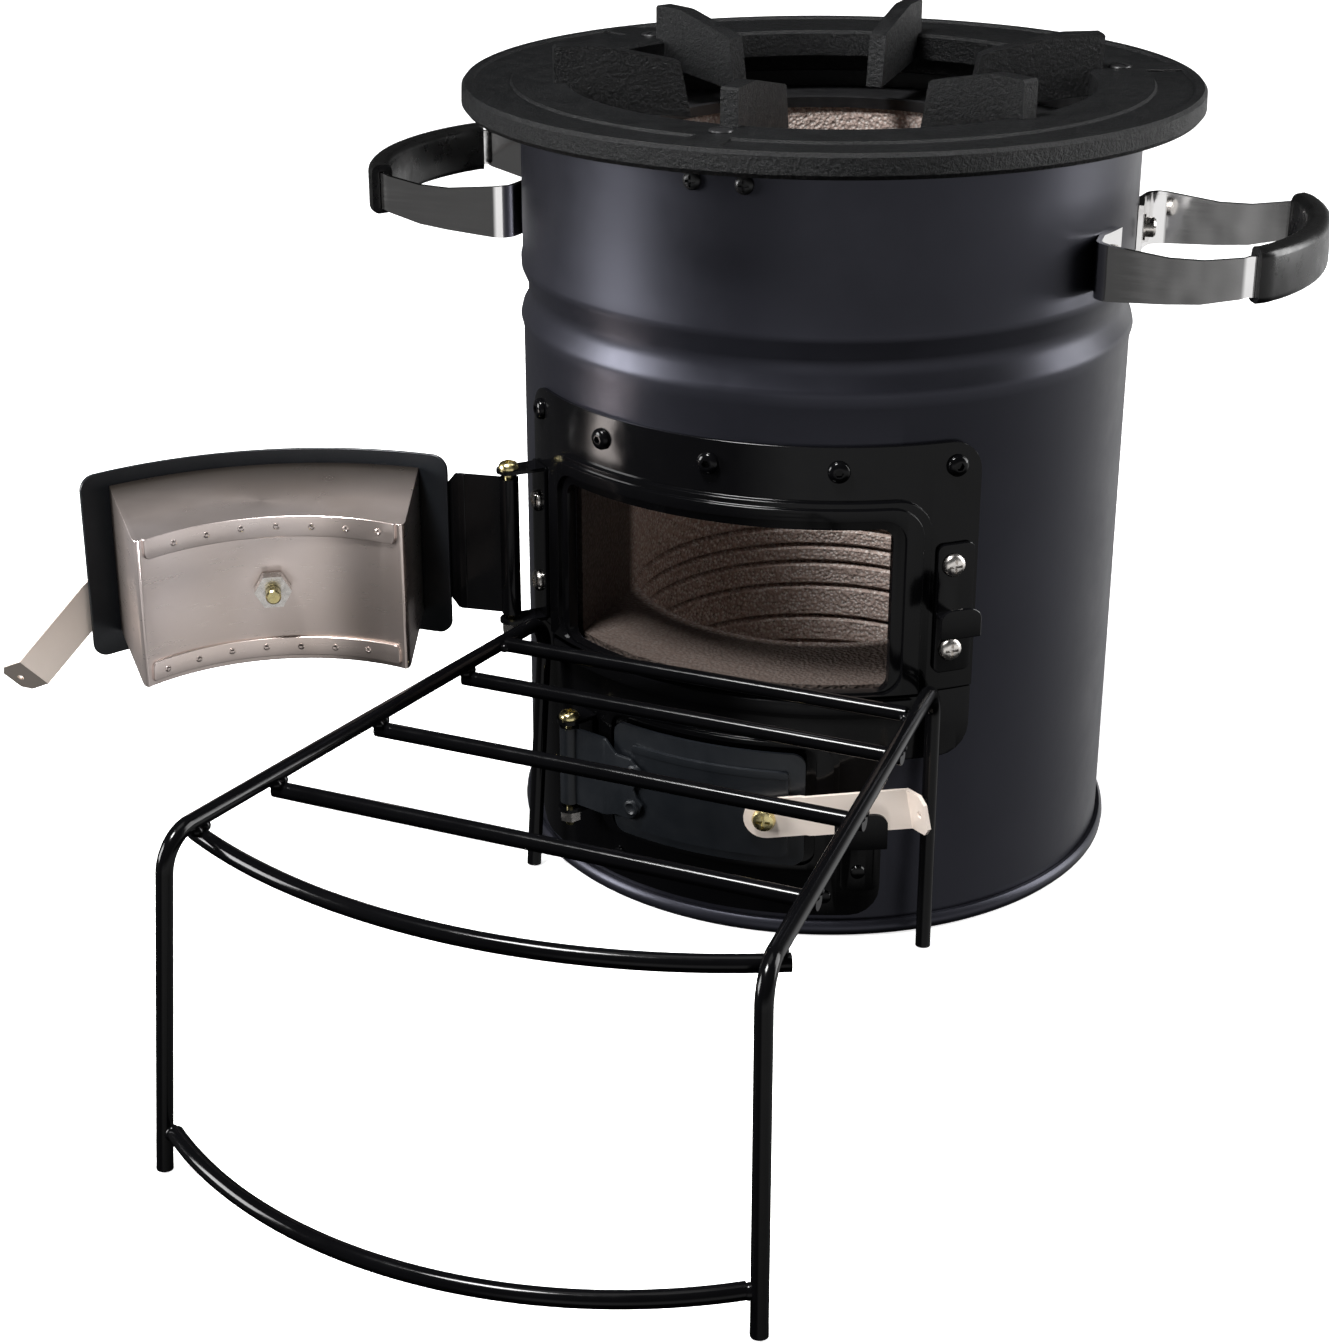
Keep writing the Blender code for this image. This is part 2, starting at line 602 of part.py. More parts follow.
def build_catch(name, base_angles, base_z, hook_angles, hook_z0, hook_z1, hook_r, rivets):
    base = slab([plate_rect(*base_angles, *base_z, 3 * MM)], PLATE_R1 + 0.25 * MM, PLATE_R1 + 1.75 * MM)
    shelf = slab([plate_rect(max(hook_angles[0], base_angles[0]), min(hook_angles[1], base_angles[1]), hook_z0,
                             hook_z0 + 1.5 * MM, 0)], PLATE_R1 + 0.6 * MM, hook_r - 0.4 * MM)
    tongue = slab([plate_rect(*hook_angles, hook_z0, hook_z1, 4.5 * MM, corners=(0, 0, 1, 1))],
                  hook_r - 1.5 * MM, hook_r)
    hook = wrap(fuse(base, shelf, tongue))
    domes = [turned(pan_head(3.0 * MM, 1.6 * MM), round_point(PLATE_R1 + 1.5 * MM, a, z), outward(a))
             for a, z in rivets]
    if domes:
        hook = fuse(hook, *domes)
    add_object(name, hook, "gloss_black", smooth=30)


def build_catches():
    build_catch("fuel_catch", (39.6, 46.6), (113.5 * MM, 166.5 * MM), (36.9, 43.2), 137.2 * MM, 149.0 * MM,
                150.4 * MM, [])
    build_catch("ash_catch", (24.3, 31.0), (21.0 * MM, 52.2 * MM), (22.4, 30.3), 50.7 * MM, 65.6 * MM,
                149.6 * MM, [(28.6, 44.0 * MM), (27.4, 29.5 * MM)])
    for k, z in enumerate((158.1, 123.3)):
        cross_screw("catch_screw_%d" % (k + 1), round_point(PLATE_R1 + 1.95 * MM, 42.5, z * MM), outward(42.5),
                    4.6 * MM, 2.4 * MM, "zinc")


def tongue_outline(axis, reach, base_r, base_half):
    """Ear outline in plan: rounded end about the hinge axis, straight sides down to the plate."""
    centre = Vector((axis.x, axis.y))
    out = centre.normalized()
    side = Vector((-out.y, out.x))
    root = out * base_r
    points = []
    for i in range(13):
        t = -pi / 2 + pi * i / 12
        points.append(centre + out * (reach * cos(t)) + side * (reach * sin(t)))
    points.append(root + side * base_half)
    points.append(root - side * base_half)
    return [(p.x, p.y) for p in points]


def build_bracket(name, axis, angles, z_range, ear_half):
    """Plate on the surround with an ear above and below the hinge barrel."""
    z0, z1 = z_range
    base = wrap(slab([plate_rect(*angles, z0, z1, 2 * MM)], PLATE_R1 + 0.25 * MM, PLATE_R1 + 1.75 * MM), 2.0)
    outline = tongue_outline(axis, 5.0 * MM, PLATE_R1 + 0.9 * MM, ear_half)
    low = stand(outline, z0, z0 + SHEET)
    high = stand(outline, z1 - SHEET, z1)
    bracket = fuse(base, low, high)
    hole = cylinder(PIN_HOLE_R, (axis.x, axis.y, z0 - 0.01), (axis.x, axis.y, z1 + 0.01))
    add_object(name, cut(bracket, hole), "gloss_black", smooth=30)


def build_pin(prefix, axis, z0, z1):
    """Hinge screw with a cross-head on top and a nut below."""
    top = Vector((axis.x, axis.y, z1 + 0.2 * MM))
    length = z1 - z0 + 7.2 * MM
    profile = [(0, -length), (PIN_R * 0.85, -length), (PIN_R, -length + 0.4 * MM), (PIN_R, 0), (4.1 * MM, 0),
               (4.1 * MM, 1.0 * MM), (3.4 * MM, 2.2 * MM), (1.9 * MM, 2.9 * MM), (0, 2.9 * MM)]
    pin = turned(profile, top, (0, 0, 1))
    tool = cross_tool(2.5 * MM, 0.5 * MM, 1.5 * MM, 5 * MM, top, (0, 0, 1))
    add_object(prefix + "_hinge_pin", cut(pin, tool), "brass")
    hex_nut(prefix + "_hinge_nut", (axis.x, axis.y, z0 - 4.4 * MM), (0, 0, 1), 7.6 * MM, 4.0 * MM,
            PIN_R + 0.15 * MM, "zinc")


def build_hinges():
    build_bracket("fuel_hinge_bracket", FUEL_AXIS, (-47.2, -40.8), (107.6 * MM, 174.4 * MM), 5.2 * MM)
    build_pin("fuel", FUEL_AXIS, 107.6 * MM, 174.4 * MM)
    build_bracket("ash_hinge_bracket", ASH_AXIS, (-31.5, -25.2), (37.4 * MM, 78.6 * MM), 5.0 * MM)
    build_pin("ash", ASH_AXIS, 37.4 * MM, 78.6 * MM)
    for k, z in enumerate((158.2, 123.0)):
        cross_screw("bracket_screw_%d" % (k + 1), round_point(PLATE_R1 + 1.95 * MM, -44.0, z * MM),
                    outward(-44.0), 4.4 * MM, 2.4 * MM, "zinc")


# ---------------------------------------------------------------- doors

def hinge_strap(axis, barrel_z, plate_r, link_angle, end_angle, strap_z, rivets):
    """Strap on the door face with a wavy end, rolled into a barrel at the hinge."""
    x0, x1 = arc_mm(link_angle), arc_mm(end_angle)
    z0, z1 = strap_z
    mid = (z0 + z1) / 2
    wave = [(x1, z0 + 4 * MM), (x1 + 1.2 * MM, z0 + 8 * MM), (x1 - 1.5 * MM, mid - 3 * MM), (x1 - 2.6 * MM, mid),
            (x1 - 1.5 * MM, mid + 3 * MM), (x1 + 1.2 * MM, z1 - 8 * MM), (x1, z1 - 4 * MM)]
    outline = [(x0, barrel_z[0]), (x0 + 4 * MM, barrel_z[0]), (x0 + 9 * MM, z0), (x1 - 4 * MM, z0)] + wave
    outline += [(x1 - 4 * MM, z1), (x0 + 9 * MM, z1), (x0 + 4 * MM, barrel_z[1]), (x0, barrel_z[1])]
    plate = wrap(slab([outline], plate_r, plate_r + SHEET))
    domes = [turned([(0, 0), (3.6 * MM, 0), (3.3 * MM, 1.0 * MM), (2.4 * MM, 1.3 * MM), (1.3 * MM, 0.7 * MM),
                     (0, 0.7 * MM)], round_point(plate_r + SHEET - 0.3 * MM, a, z), outward(a)) for a, z in rivets]
    # link from the strap to the barrel, in plan
    start = Vector(round_point(plate_r + SHEET / 2, link_angle + 1.0, 0)[:2])
    centre = Vector((axis.x, axis.y))
    direction = (start - centre).normalized()
    side = Vector((-direction.y, direction.x)) * (SHEET / 2)
    near = centre + direction * (BARREL_R - 0.8 * MM)
    far = start + direction * 0.6 * MM
    link = stand([tuple(near - side), tuple(far - side), tuple(far + side), tuple(near + side)], *barrel_z)
    barrel = cylinder(BARREL_R, (axis.x, axis.y, barrel_z[0]), (axis.x, axis.y, barrel_z[1]))
    solid = fuse(plate, link, barrel, *domes)
    return cut(solid, cylinder(PIN_HOLE_R, (axis.x, axis.y, barrel_z[0] - 0.01),
                               (axis.x, axis.y, barrel_z[1] + 0.01)))


def latch_strip(reach):
    """Flat strip, pivot at the origin, running along +X with its face towards -Y and a bent tab with a hole."""
    h = LATCH_WIDTH / 2
    round_end = [(-h * sin(t), h * cos(t)) for t in [pi * i / 12 for i in range(13)]]
    step_x = 16.0 * MM
    outline = round_end + [(step_x, -h), (step_x, h)]
    near = slab([outline, round_hole(0, 0, LATCH_HOLE_R)], -SHEET, 0)
    far = stand([(step_x - 0.4 * MM, 0), (step_x - 0.4 * MM, -SHEET), (step_x + 1.6 * MM, -SHEET - 1.0 * MM),
                 (reach, -SHEET - 1.0 * MM), (reach + 0.72 * MM, -1.0 * MM), (step_x + 2.0 * MM, -1.0 * MM)], -h, h)
    # tab bent outwards, with clipped corners and a hole
    clip = 3.2 * MM
    tab = slab([[(-0.7 * MM, -h), (LATCH_TAB - clip, -h), (LATCH_TAB, clip - h), (LATCH_TAB, h - clip),
                 (LATCH_TAB - clip, h), (-0.7 * MM, h)], round_hole(7.2 * MM, 0, 1.4 * MM, 12)], -SHEET, 0)
    a = radians(LATCH_TAB_BEND)
    corner = Vector((reach + SHEET * sin(a), -SHEET - 1.0 * MM + SHEET * cos(a), 0))
    tab.transform(Matrix.Translation(corner) @ Matrix.Rotation(-a, 4, "Z"))
    return fuse(near, far, tab)


def latch_screw(name, where, direction, parent=None):
    """Shouldered pivot screw with a cross-head."""
    profile = [(0, 0), (LATCH_SHANK_R, 0), (LATCH_SHANK_R, 2.4 * MM), (4.7 * MM, 2.4 * MM),
               (4.7 * MM, 3.3 * MM), (4.0 * MM, 4.6 * MM), (2.2 * MM, 5.2 * MM), (0, 5.2 * MM)]
    screw = turned(profile, where, direction)
    tool = cross_tool(2.8 * MM, 0.55 * MM, 3.9 * MM, 7 * MM, where, direction)
    return add_object(name, cut(screw, tool), "brass", parent=parent)


def plug_box():
    """Tapered box behind the fuel door: wide at the panel, narrow at its curved inner face."""
    rear_half, face_half = 62.0 * MM, 51.3 * MM
    rear_r, face_r = FUEL_PANEL_R - GAP, 77.0 * MM
    rear_z, face_z = (108.7 * MM, 171.8 * MM), (109.0 * MM, 169.8 * MM)
    columns, bm = 12, bmesh.new()
    rows = []
    for r, half, z_pair in ((face_r, face_half, face_z), (rear_r, rear_half, rear_z)):
        span = degrees(atan2(half, sqrt(r * r - half * half)))
        angles = [-span + 2 * span * i / columns for i in range(columns + 1)]
        rows.append([[bm.verts.new(round_point(r, a, z)) for a in angles] for z in z_pair])
    (f0, f1), (r0, r1) = rows
    for i in range(columns):
        bm.faces.new((f0[i], f0[i + 1], f1[i + 1], f1[i]))
        bm.faces.new((r0[i], r1[i], r1[i + 1], r0[i + 1]))
        bm.faces.new((f1[i], f1[i + 1], r1[i + 1], r1[i]))
        bm.faces.new((f0[i + 1], f0[i], r0[i], r0[i + 1]))
    for i in (0, columns):
        quad = (f0[i], f1[i], r1[i], r0[i])
        bm.faces.new(quad)
    bmesh.ops.recalc_face_normals(bm, faces=bm.faces)
    upright = [e for e in bm.edges if abs(e.verts[0].co.z - e.verts[1].co.z) > 0.03 and
               len(e.link_faces) == 2 and e.calc_face_angle() > 0.9 and
               hypot(*e.verts[0].co[:2]) < 0.1]
    bmesh.ops.bevel(bm, geom=upright, offset=6 * MM, segments=4, profile=0.5, affect="EDGES")
    return to_mesh(bm)


def build_fuel_door():
    hinge = add_empty("fuel_door_axis", FUEL_AXIS, -radians(FUEL_OPEN))
    back = -FUEL_AXIS
    z0, z1 = FUEL_PANEL_Z
    bolt_r = 3.0 * MM
    hole = round_hole(0, FUEL_MID_Z, bolt_r + GAP, 18)
    panel = slab([plate_rect(-FUEL_PANEL_HALF, FUEL_PANEL_HALF, z0, z1, 6 * MM), hole],
                 FUEL_PANEL_R, FUEL_PANEL_R + SHEET)
    tray = slab([plate_rect(-14.5, 15.5, 112.5 * MM, 168.5 * MM, 4 * MM), hole],
                FUEL_PANEL_R + 0.4 * MM, FUEL_PANEL_R + 3.0 * MM)
    add_object("fuel_door_panel", moved(wrap(fuse(panel, tray)), back), "door_paint", smooth=30, parent=hinge)
    drill = cylinder(bolt_r + GAP, (0, -0.06, FUEL_MID_Z), (0, -0.15, FUEL_MID_Z), 18)
    add_object("fuel_door_box", moved(cut(plug_box(), drill), back), "stainless", smooth=30, parent=hinge)
    strap = hinge_strap(FUEL_AXIS, FUEL_BARREL_Z, FUEL_PANEL_R + SHEET + GAP, -36.0, -17.5,
                        (118 * MM, 164 * MM), [(-20.5, 154 * MM), (-21.5, 128 * MM)])
    add_object("fuel_door_strap", moved(strap, back), "gloss_black", smooth=30, parent=hinge)
    bolt = turned([(0, 0), (bolt_r * 0.8, 0), (bolt_r, 0.6 * MM), (bolt_r, 72.2 * MM), (6.0 * MM, 72.2 * MM),
                   (5.2 * MM, 74.6 * MM), (3.0 * MM, 75.8 * MM), (0, 75.8 * MM)],
                  (0, -65.0 * MM, FUEL_MID_Z), (0, -1, 0))
    add_object("fuel_door_bolt", moved(bolt, back), "brass", parent=hinge)
    nut = hex_nut("fuel_door_nut", (0, -70.6 * MM, FUEL_MID_Z), (0, -1, 0), 12.6 * MM, 5.4 * MM,
                  bolt_r + 0.15 * MM, "zinc", parent=hinge)
    nut.data.transform(Matrix.Translation(back))
    spot = round_point(FUEL_PANEL_R + SHEET + GAP, FUEL_LATCH_TH, FUEL_LATCH_Z)
    latch_screw("fuel_latch_screw", spot + back, outward(FUEL_LATCH_TH), parent=hinge)
    pivot = add_empty("fuel_latch_axis", spot + outward(FUEL_LATCH_TH) * 0.4 * MM + back,
                      radians(FUEL_LATCH_TH), hinge)
    pivot.rotation_euler = (0, 0, radians(FUEL_LATCH_TH))
    strip = latch_strip(LATCH_REACH)
    strip.transform(Matrix.Rotation(radians(FUEL_LATCH_DROP), 4, "Y"))
    add_object("fuel_latch_strip", strip, "latch_steel", smooth=30, parent=pivot)


def build_ash_door():
    hinge = add_empty("ash_door_axis", ASH_AXIS)
    back = -ASH_AXIS
    z0, z1 = ASH_PANEL_Z
    h = ASH_PANEL_HALF
    panel = slab([plate_rect(-h, h, z0, z1, 5 * MM)], ASH_PANEL_R, ASH_PANEL_R + SHEET)
    tray = slab([plate_rect(-13.5, 15.0, z0 + 4 * MM, 75.5 * MM, 3.5 * MM)],
                ASH_PANEL_R + 0.4 * MM, ASH_PANEL_R + 2.9 * MM)
    rim = slab([plate_rect(-13.5, 15.0, 72.6 * MM, 75.5 * MM, 1.2 * MM)],
               ASH_PANEL_R + 2.0 * MM, ASH_PANEL_R + 3.1 * MM)
    add_object("ash_door_panel", moved(wrap(fuse(panel, tray, rim)), back), "door_paint", smooth=30,
               parent=hinge)
    strap = hinge_strap(ASH_AXIS, ASH_BARREL_Z, ASH_PANEL_R + 2.9 * MM + GAP, -20.5, -11.4,
                        (43 * MM, 70 * MM), [(-12.3, 64.6 * MM), (-13.0, 48.6 * MM)])
    add_object("ash_door_strap", moved(strap, back), "door_paint", smooth=30, parent=hinge)
    spot = round_point(ASH_PANEL_R + 2.9 * MM + GAP, ASH_LATCH_TH, ASH_LATCH_Z)
    latch_screw("ash_latch_screw", spot + back, outward(ASH_LATCH_TH), parent=hinge)
    pivot = add_empty("ash_latch_axis", spot + outward(ASH_LATCH_TH) * 0.4 * MM + back,
                      radians(ASH_LATCH_TH), hinge)
    strip = latch_strip(LATCH_REACH)
    strip.transform(Matrix.Rotation(-radians(ASH_LATCH_TILT), 4, "Y"))
    add_object("ash_latch_strip", strip, "latch_steel", smooth=30, parent=pivot)


# ---------------------------------------------------------------- handles and rack

def strap_span(x):
    """Bottom and top of the handle strap at a distance from the drum axis."""
    x /= MM
    for (x0, a0, b0), (x1, a1, b1) in zip(STRAP_SPANS, STRAP_SPANS[1:]):
        if x <= x1:
            t = (x - x0) / (x1 - x0)
            return (a0 + (a1 - a0) * t) * MM, (b0 + (b1 - b0) * t) * MM
    return STRAP_SPANS[-1][1] * MM, STRAP_SPANS[-1][2] * MM


def ribbon(path, half, spans):
    """Upright flat bar along a level path, with its own bottom and top height at every point."""
    bm = bmesh.new()
    rows = []
    for i, point in enumerate(path):
        a = (point - path[max(i - 1, 0)]).normalized() if i else (path[1] - point).normalized()
        b = (path[i + 1] - point).normalized() if i + 1 < len(path) else a
        ahead = (a + b).normalized()
        side = Vector((-ahead.y, ahead.x, 0)) * (half / ahead.dot(a))
        z0, z1 = spans[i]
        rows.append([bm.verts.new((point.x + k * side.x, point.y + k * side.y, z))
                     for k, z in ((-1, z0), (1, z0), (1, z1), (-1, z1))])
    for a, b in zip(rows, rows[1:]):
        for i in range(4):
            bm.faces.new((a[i], a[(i + 1) % 4], b[(i + 1) % 4], b[i]))
    bm.faces.new(rows[0])
    bm.faces.new(rows[-1])
    return to_mesh(bm)


def handle_path():
    """Front half of the handle in plan: foot on the drum, bend, arm, outer bend, bowed cross-piece."""
    flange_r = SHELL_R + GAP + STRAP_SHEET / 2
    foot = [round_point(flange_r, 90 - a, 0) for a in (8.5, 11.0, 13.5, 15.6, 17.2)]
    corner = Vector((124.4 * MM, -HANDLE_HALF, 0))
    centre = HANDLE_OUT - HANDLE_BOW_R
    bow = [Vector((centre + sqrt(HANDLE_BOW_R ** 2 - (y * MM) ** 2), y * MM, 0)) for y in (-48, -38, -28, -14, 0)]
    inner = round_corners([foot[-1], corner, Vector((140 * MM, -HANDLE_HALF, 0))], 8.0 * MM, 5)[1:-1]
    arm = [Vector((x * MM, -HANDLE_HALF, 0)) for x in (138, 150, 163)]
    outer = round_corners([Vector((163 * MM, -HANDLE_HALF, 0)), bow[0], bow[1]], 8.0 * MM, 6)[1:-1]
    return foot[:-1] + inner + arm, outer, bow[1:]


def build_handles():
    t = STRAP_SHEET / 2
    root, outer, bow = handle_path()
    half_path = root + outer + bow
    path = half_path + [Vector((p.x, -p.y, 0)) for p in reversed(half_path[:-1])]
    spans = [strap_span(p.x) for p in path]
    z0, z1 = strap_span(0.2)
    mid, tall = (z0 + z1) / 2, z1 - z0
    half_grip = outer[len(outer) // 2:] + bow
    grip_path = half_grip + [Vector((p.x, -p.y, 0)) for p in reversed(half_grip[:-1])]
    grip_path = [Vector((p.x, p.y, mid)) for p in grip_path]
    low, high = GRIP_Z[0] - mid, GRIP_Z[1] - mid
    outer_section = rounded_rect(-4.8 * MM, 4.8 * MM, low, high, 3.2 * MM, steps=2)
    inner = rounded_rect(-t - GAP, t + GAP, -tall / 2 - GAP, tall / 2 + GAP, 0.2 * MM, steps=2)
    for sign, side in ((1, "right"), (-1, "left")):
        strap = ribbon(path, t, spans)
        grip = sweep(grip_path, outer_section, inner)
        if sign < 0:
            for mesh in (strap, grip):
                mesh.transform(Matrix.Scale(-1, 4, (1, 0, 0)))
                mesh.flip_normals()
        add_object("handle_strap_" + side, strap, "chrome", smooth=40)
        add_object("handle_grip_" + side, grip, "rubber", smooth=50)
        for k, s in enumerate((-1, 1)):
            angle = sign * (90 + s * 12.2)
            where = round_point(SHELL_R + GAP + 2 * t + 0.2 * MM, angle, HANDLE_BOLT_Z)
            head = turned([(0, 0), (5.4 * MM, 0), (5.4 * MM, 0.8 * MM), (4.0 * MM, 1.0 * MM), (4.0 * MM, 4.0 * MM),
                           (3.2 * MM, 4.8 * MM), (0, 5.0 * MM)], where, outward(angle), 16)
            add_object("handle_bolt_%s_%d" % (side, k + 1), head, "zinc")


def rail_height(y):
    (_, y0, z0), (_, y1, z1) = RACK_TOP_FRONT, RACK_TOP_REAR
    return z0 + (z1 - z0) * (y - y0) / (y1 - y0)


def rail_offset(y):
    (x0, y0, _), (x1, y1, _) = RACK_TOP_FRONT, RACK_TOP_REAR
    return x0 + (x1 - x0) * (y - y0) / (y1 - y0)


def arc_path(half, y_end, y_apex, z, steps=14):
    rise = y_end - y_apex
    r = (half * half + rise * rise) / (2 * rise)
    span = atan2(half, r - rise)
    return [Vector((r * sin(span * (2 * i / steps - 1)), y_apex + r - r * cos(span * (2 * i / steps - 1)), z))
            for i in range(steps + 1)]


def build_rack():
    fx, fy = RACK_FOOT_FRONT
    rx, ry = RACK_FOOT_REAR
    for sign, side in ((-1, "left"), (1, "right")):
        corners = [Vector((sign * fx, fy, GAP)), Vector((sign * RACK_TOP_FRONT[0],) + RACK_TOP_FRONT[1:]),
                   Vector((sign * RACK_TOP_REAR[0],) + RACK_TOP_REAR[1:]), Vector((sign * rx, ry, GAP))]
        add_object("rack_side_" + side, rod(round_corners(corners, 13 * MM, 6)), "gloss_black")
    drop = 2 * WIRE_R + GAP
    x, z = rail_offset(RACK_STOP_BAR_Y) - WIRE_R - GAP, rail_height(RACK_STOP_BAR_Y) + 0.4 * MM
    add_object("rack_bar_1", rod([Vector((-x, RACK_STOP_BAR_Y, z)), Vector((x, RACK_STOP_BAR_Y, z))]),
               "gloss_black")
    for k, y in enumerate(RACK_BARS_Y):
        x, z = rail_offset(y) + 1.2 * MM, rail_height(y) - drop
        add_object("rack_bar_%d" % (k + 2), rod([Vector((-x, y, z)), Vector((x, y, z))]), "gloss_black")
    z = rail_height(-0.327) - drop - 0.2 * MM
    add_object("rack_front_arc", rod(arc_path(106.4 * MM, -325.5 * MM, -352 * MM, z)), "gloss_black")
    add_object("rack_lower_arc", rod(arc_path(104.1 * MM, -354 * MM, -388 * MM, 15 * MM)), "gloss_black")


clear_scene()
build_drum()
build_cooktop()
build_surrounds()
build_catches()
build_hinges()
build_fuel_door()
build_ash_door()
build_handles()
build_rack()
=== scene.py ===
"""Looks of the rocket stove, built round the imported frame: shapes, materials, floor, light and camera."""
import json
import bpy
import bmesh
from math import radians, degrees, sin, cos, pi, sqrt, atan2, hypot
from mathutils import Vector, Matrix
from mathutils.geometry import tessellate_polygon


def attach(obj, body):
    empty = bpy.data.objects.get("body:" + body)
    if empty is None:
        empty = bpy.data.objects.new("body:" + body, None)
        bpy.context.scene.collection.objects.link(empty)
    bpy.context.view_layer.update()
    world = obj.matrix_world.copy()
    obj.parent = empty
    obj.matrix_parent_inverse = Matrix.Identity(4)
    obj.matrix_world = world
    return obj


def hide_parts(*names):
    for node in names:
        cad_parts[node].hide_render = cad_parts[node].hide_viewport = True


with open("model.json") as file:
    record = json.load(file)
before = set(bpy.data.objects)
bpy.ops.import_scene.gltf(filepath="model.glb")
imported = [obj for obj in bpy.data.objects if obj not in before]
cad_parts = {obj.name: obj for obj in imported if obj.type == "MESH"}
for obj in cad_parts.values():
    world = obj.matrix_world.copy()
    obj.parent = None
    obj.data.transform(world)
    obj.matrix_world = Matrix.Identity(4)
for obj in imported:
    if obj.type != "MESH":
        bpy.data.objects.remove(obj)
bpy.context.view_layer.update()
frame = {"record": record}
BODY_OF = {node: name for name, nodes in frame["record"]["behaviour"]["bodies"].items() for node in nodes}

# ---------------- materials


def fill_ramp(node, stops):
    ramp = node.color_ramp
    while len(ramp.elements) < len(stops):
        ramp.elements.new(0.5)
    for element, (place, colour) in zip(ramp.elements, stops):
        element.position = place
        element.color = (*colour, 1) if isinstance(colour, tuple) else (colour, colour, colour, 1)


class Shader:
    """Small helper that lays out one node material."""

    def __init__(self, name):
        self.mat = bpy.data.materials.new(name)
        self.mat.use_nodes = True
        self.nodes = self.mat.node_tree.nodes
        self.links = self.mat.node_tree.links
        self.bsdf = self.nodes["Principled BSDF"]
        coord = self.add("TexCoord")
        self.place = coord.outputs["Object"]

    def set(self, **values):
        for key, value in values.items():
            self.bsdf.inputs[key.replace("_", " ")].default_value = value

    def add(self, kind, **values):
        node = self.nodes.new("ShaderNode" + kind)
        for key, value in values.items():
            node.inputs[key].default_value = value
        return node

    def grain(self, scale, detail=None, rough=0.55, stretch=None):
        """Noise of the given scale, detail and roughness; cells where it has no detail."""
        if detail is None:
            node = self.add("TexVoronoi", Scale=scale)
        else:
            node = self.add("TexNoise", Scale=scale, Detail=detail, Roughness=rough)
        where = self.place
        if stretch:
            mapping = self.add("Mapping", Scale=stretch)
            self.links.new(where, mapping.inputs["Vector"])
            where = mapping.outputs[0]
        self.links.new(where, node.inputs["Vector"])
        return node.outputs["Distance" if detail is None else "Fac"]

    def ramp(self, source, *stops):
        node = self.add("ValToRGB")
        fill_ramp(node, stops)
        self.links.new(source, node.inputs["Fac"])
        return node.outputs["Color"]

    def fill(self, sockets, values):
        for socket, value in zip(sockets, values):
            if isinstance(value, bpy.types.NodeSocket):
                self.links.new(value, socket)
            else:
                socket.default_value = (*value, 1) if isinstance(value, tuple) else value

    def mix(self, factor, a, b):
        node = self.add("Mix")
        node.data_type = "RGBA"
        self.fill([node.inputs[key] for key in ("Factor", "A", "B")], (factor, a, b))
        return node.outputs["Result"]

    def math(self, operation, a, b=0.0):
        node = self.add("Math")
        node.operation = operation
        self.fill(node.inputs, (a, b))
        return node.outputs[0]

    def radius(self, x, y):
        """Distance from an upright axis through (x, y)."""
        parts = self.add("SeparateXYZ")
        self.links.new(self.place, parts.inputs[0])
        dx, dy = self.math("SUBTRACT", parts.outputs[0], x), self.math("SUBTRACT", parts.outputs[1], y)
        return self.math("SQRT", self.math("ADD", self.math("MULTIPLY", dx, dx), self.math("MULTIPLY", dy, dy)))

    def bump(self, height, strength, distance):
        node = self.add("Bump", Strength=strength, Distance=distance)
        self.links.new(height, node.inputs["Height"])
        previous = self.bsdf.inputs["Normal"].links
        if previous:
            self.links.new(previous[0].from_socket, node.inputs["Normal"])
        self.links.new(node.outputs["Normal"], self.bsdf.inputs["Normal"])

    def link(self, source, name):
        self.links.new(source, self.bsdf.inputs[name])


